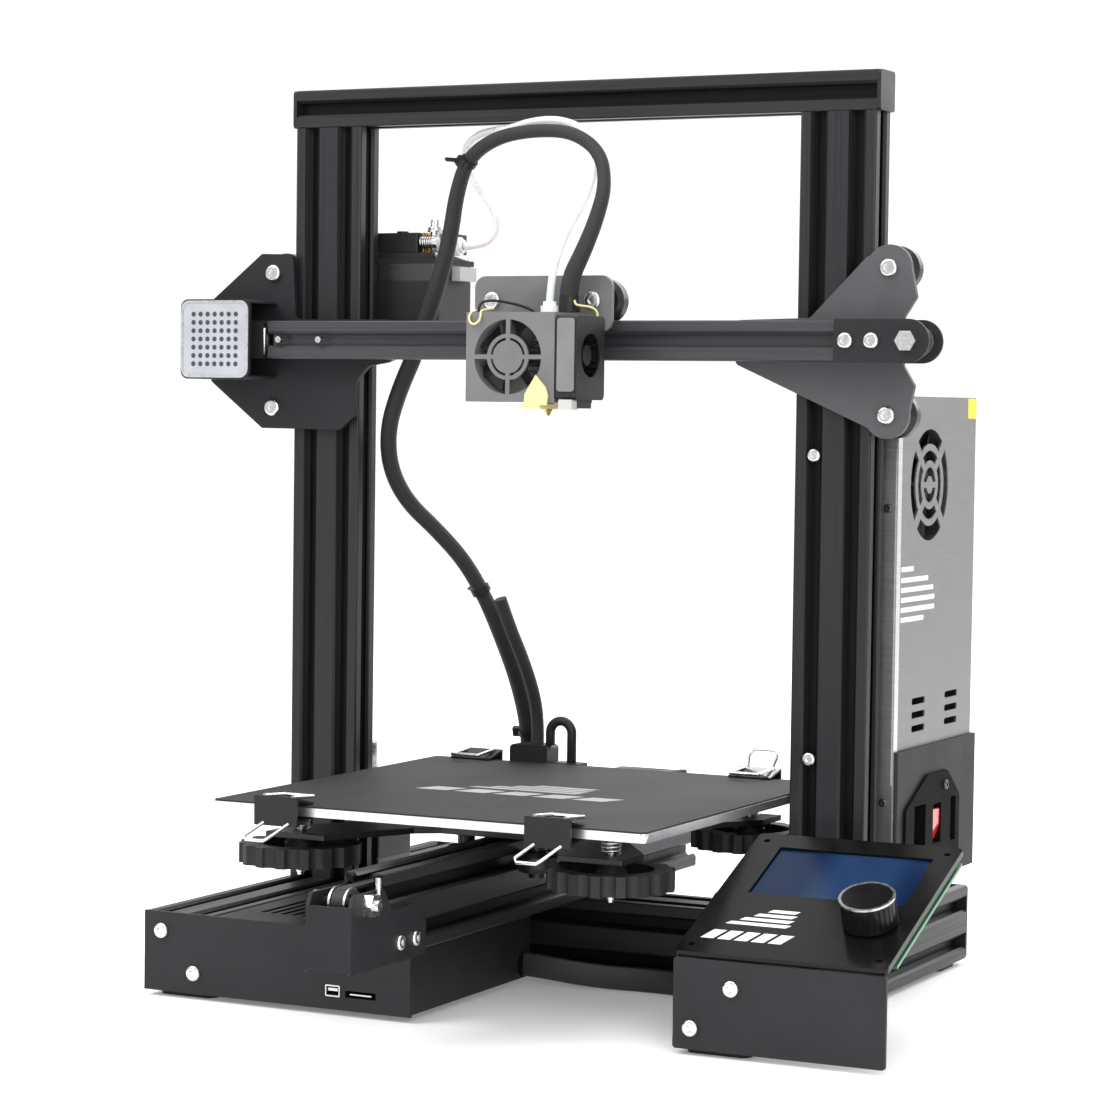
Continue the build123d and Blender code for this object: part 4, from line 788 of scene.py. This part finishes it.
def tie(name, path, goal, r, body, tail=None):
    """A cable tie round a cord, at the point of its path nearest to a goal in millimetres."""
    k = min(range(1, len(path) - 1), key=lambda i: (path[i] - mm(*goal)).length)
    tangent = (path[k + 1] - path[k - 1]).normalized()
    place = Matrix.Translation(path[k]) @ tangent.to_track_quat("Z", "Y").to_matrix().to_4x4()
    bm = bmesh.new()
    ring(bm, circle(r + 1.0), circle(r - 0.4), -1.5, 1.5, place)
    slab(bm, rounded(5.0, 4.0, 0.6, r + 1.6, 0), -2.4, 2.4, place)
    if tail:
        slab(bm, rounded(tail, 2.2, 0.6, r + tail / 2, 0.4), -0.5, 0.5, place)
    mesh_object(name, bm, MATS["plastic"], body, 40)


def head_pieces():
    """The blower's front face painted paler as a painted highlight, its outlet, the heater's yellow wrap,
    and the small wires.
    """
    place = facing(FRONT, 34.1, HEAD_FRONT - 0.5, 0)
    # The blower's narrow front face is painted paler: painted highlight, the blower itself being black.
    face = [rounded(9.4, 36, 1.6, 0, 324)]
    plate_piece("blower_front", face, -0.2, 0.5, place, MATS["blower_face_painted_lit"], "carriage")
    outlet = [rounded(7.4, 5.0, 0.8, 0, 299.6)]
    plate_piece("outlet_edge", outlet, -6.6, 0.3, place, MATS["ivory"], "carriage")
    flap = [
        (9.6, 299.2), (22.0, 299.2), (22.8, 304.0), (21.4, 308.2), (16.0, 314.0), (12.6, 308.5),
        (10.2, 304.8),
    ]
    strip = [(7.0, 297.4), (18.4, 297.4), (18.4, 299.8), (7.0, 299.8)]
    front = facing(FRONT, 2.0, HEAD_FRONT, 0)
    bm = bmesh.new()
    slab(bm, flap, 0.1, 1.3, front)
    slab(bm, strip, -20.0, 0.9, front)
    mesh_object("heater_wrap", bm, MATS["heater"], "carriage", 40)
    wire("fan_wire_yellow", [
        (-17.5, -82, 346), (-19.4, -85.6, 344.5), (-19.2, -86.6, 340.5), (-16.4, -86.8, 338.6),
        (-13.6, -86.6, 340.2), (-12.6, -86.2, 343), (-14.5, -83, 346.4), (-11, -76, 346.9),
    ], 0.6, "heater")
    wire("fan_wire_black", [
        (-19, -76, 345.0), (-19.6, -76, 349.5), (-15, -72, 351.5), (-8, -66, 350.5), (0, -59, 348.0),
        (3, -57, 345.6),
    ], 0.7, "plastic")
    wire("blower_wire", [
        (38, -58, 343.3), (38, -58, 346.0), (35.5, -60, 348.2), (30, -61, 348.8), (25, -57, 349.5),
        (22.5, -52.5, 352),
    ], 0.6, "heater")
    wire("heater_wire", [
        (16.3, -57, 303), (18.5, -57, 303.5), (21, -55.5, 308), (20.5, -52, 316), (18.5, -50, 330),
        (18.5, -50, 344),
    ], 1.0, "heater")
    wire("sensor_wire", [
        (16.3, -53, 301.5), (19, -53, 302), (22.5, -51, 307), (22, -49, 316), (20.5, -48, 330),
        (20.5, -48.5, 344),
    ], 0.8, "white")


def drive_spring():
    """The spring and bolt that press the extruder's lever."""
    y = 19.0
    z = 385.8
    bm = bmesh.new()
    tube_mesh(bm, helix(-103.8, y, z, 2.6, 8.2, 6, "X"), 0.5 * MM, 8)
    tube_mesh(bm, [mm(-104.5, y, z), mm(-93.5, y, z)], 1.3 * MM, 12)
    tube_mesh(bm, [mm(-95.6, y, z), mm(-93.6, y, z)], 3.0 * MM, 16)
    mesh_object("drive_spring", bm, MATS["spring"], "gantry", 50)


cover_label()
bed_mark()
panel_mark()
supply_marks()
knob_rim()
usb_shell()
level_springs()
clip_handles()
head_pieces()
drive_spring()
tie("loop_tie", loop_path, (-60.5, -12, 427.5), 3.7, "gantry", 12)
tie("lower_tie", upper_path, (-77.5, 48, 199), 4.3, "frame", 9)
tie("clamp_tie", lower_path, (-71, 88.5, 118), 4.7, "bed")


# ---------------------------------------------------------------- stage and light
def make_stage():
    """A pale floor that curves up into a back wall."""
    bm = bmesh.new()
    steps = 24
    half = 6.0
    bend = 1.4
    bend_from = 2.4
    rows = []
    for x in (-half, half):
        row = [bm.verts.new((x, -half, 0))]
        for i in range(steps + 1):
            a = math.pi / 2 * i / steps
            row.append(bm.verts.new((x, bend_from + bend * math.sin(a), bend - bend * math.cos(a))))
        row.append(bm.verts.new((x, bend_from + bend, half)))
        rows.append(row)
    for i in range(len(rows[0]) - 1):
        bm.faces.new((rows[0][i], rows[1][i], rows[1][i + 1], rows[0][i + 1]))
    floor = mesh_object("floor", bm, floor_material(), None, 60)


def area_light(name, place, target, size, power):
    """A white rectangular light at a place, aimed at a target, in metres and watts."""
    data = bpy.data.lights.new(name, "AREA")
    data.shape = "RECTANGLE"
    data.size, data.size_y = size
    data.energy = power
    obj = bpy.data.objects.new(name, data)
    aim = (Vector(target) - Vector(place)).to_track_quat("-Z", "Y").to_matrix().to_4x4()
    obj.matrix_world = Matrix.Translation(place) @ aim
    scene.collection.objects.link(obj)


def make_world():
    """Even white light from all round, and plain colours."""
    world = bpy.data.worlds.new("world")
    world.use_nodes = True
    background = world.node_tree.nodes["Background"]
    background.inputs["Color"].default_value = (1, 1, 1, 1)
    background.inputs["Strength"].default_value = 0.75
    scene.world = world
    scene.view_settings.view_transform = "Standard"


make_stage()
area_light("key", (-1.3, -1.5, 1.9), (0, 0, 0.2), (1.6, 1.6), 42)
area_light("fill", (1.35, -1.9, 1.0), (0, 0, 0.2), (1.4, 1.8), 34)
area_light("top", (0.1, 0.1, 2.2), (0, 0, 0.1), (2.2, 2.2), 34)
area_light("rear", (0.4, 1.9, 1.3), (0, 0, 0.3), (2.4, 1.4), 26)
make_world()
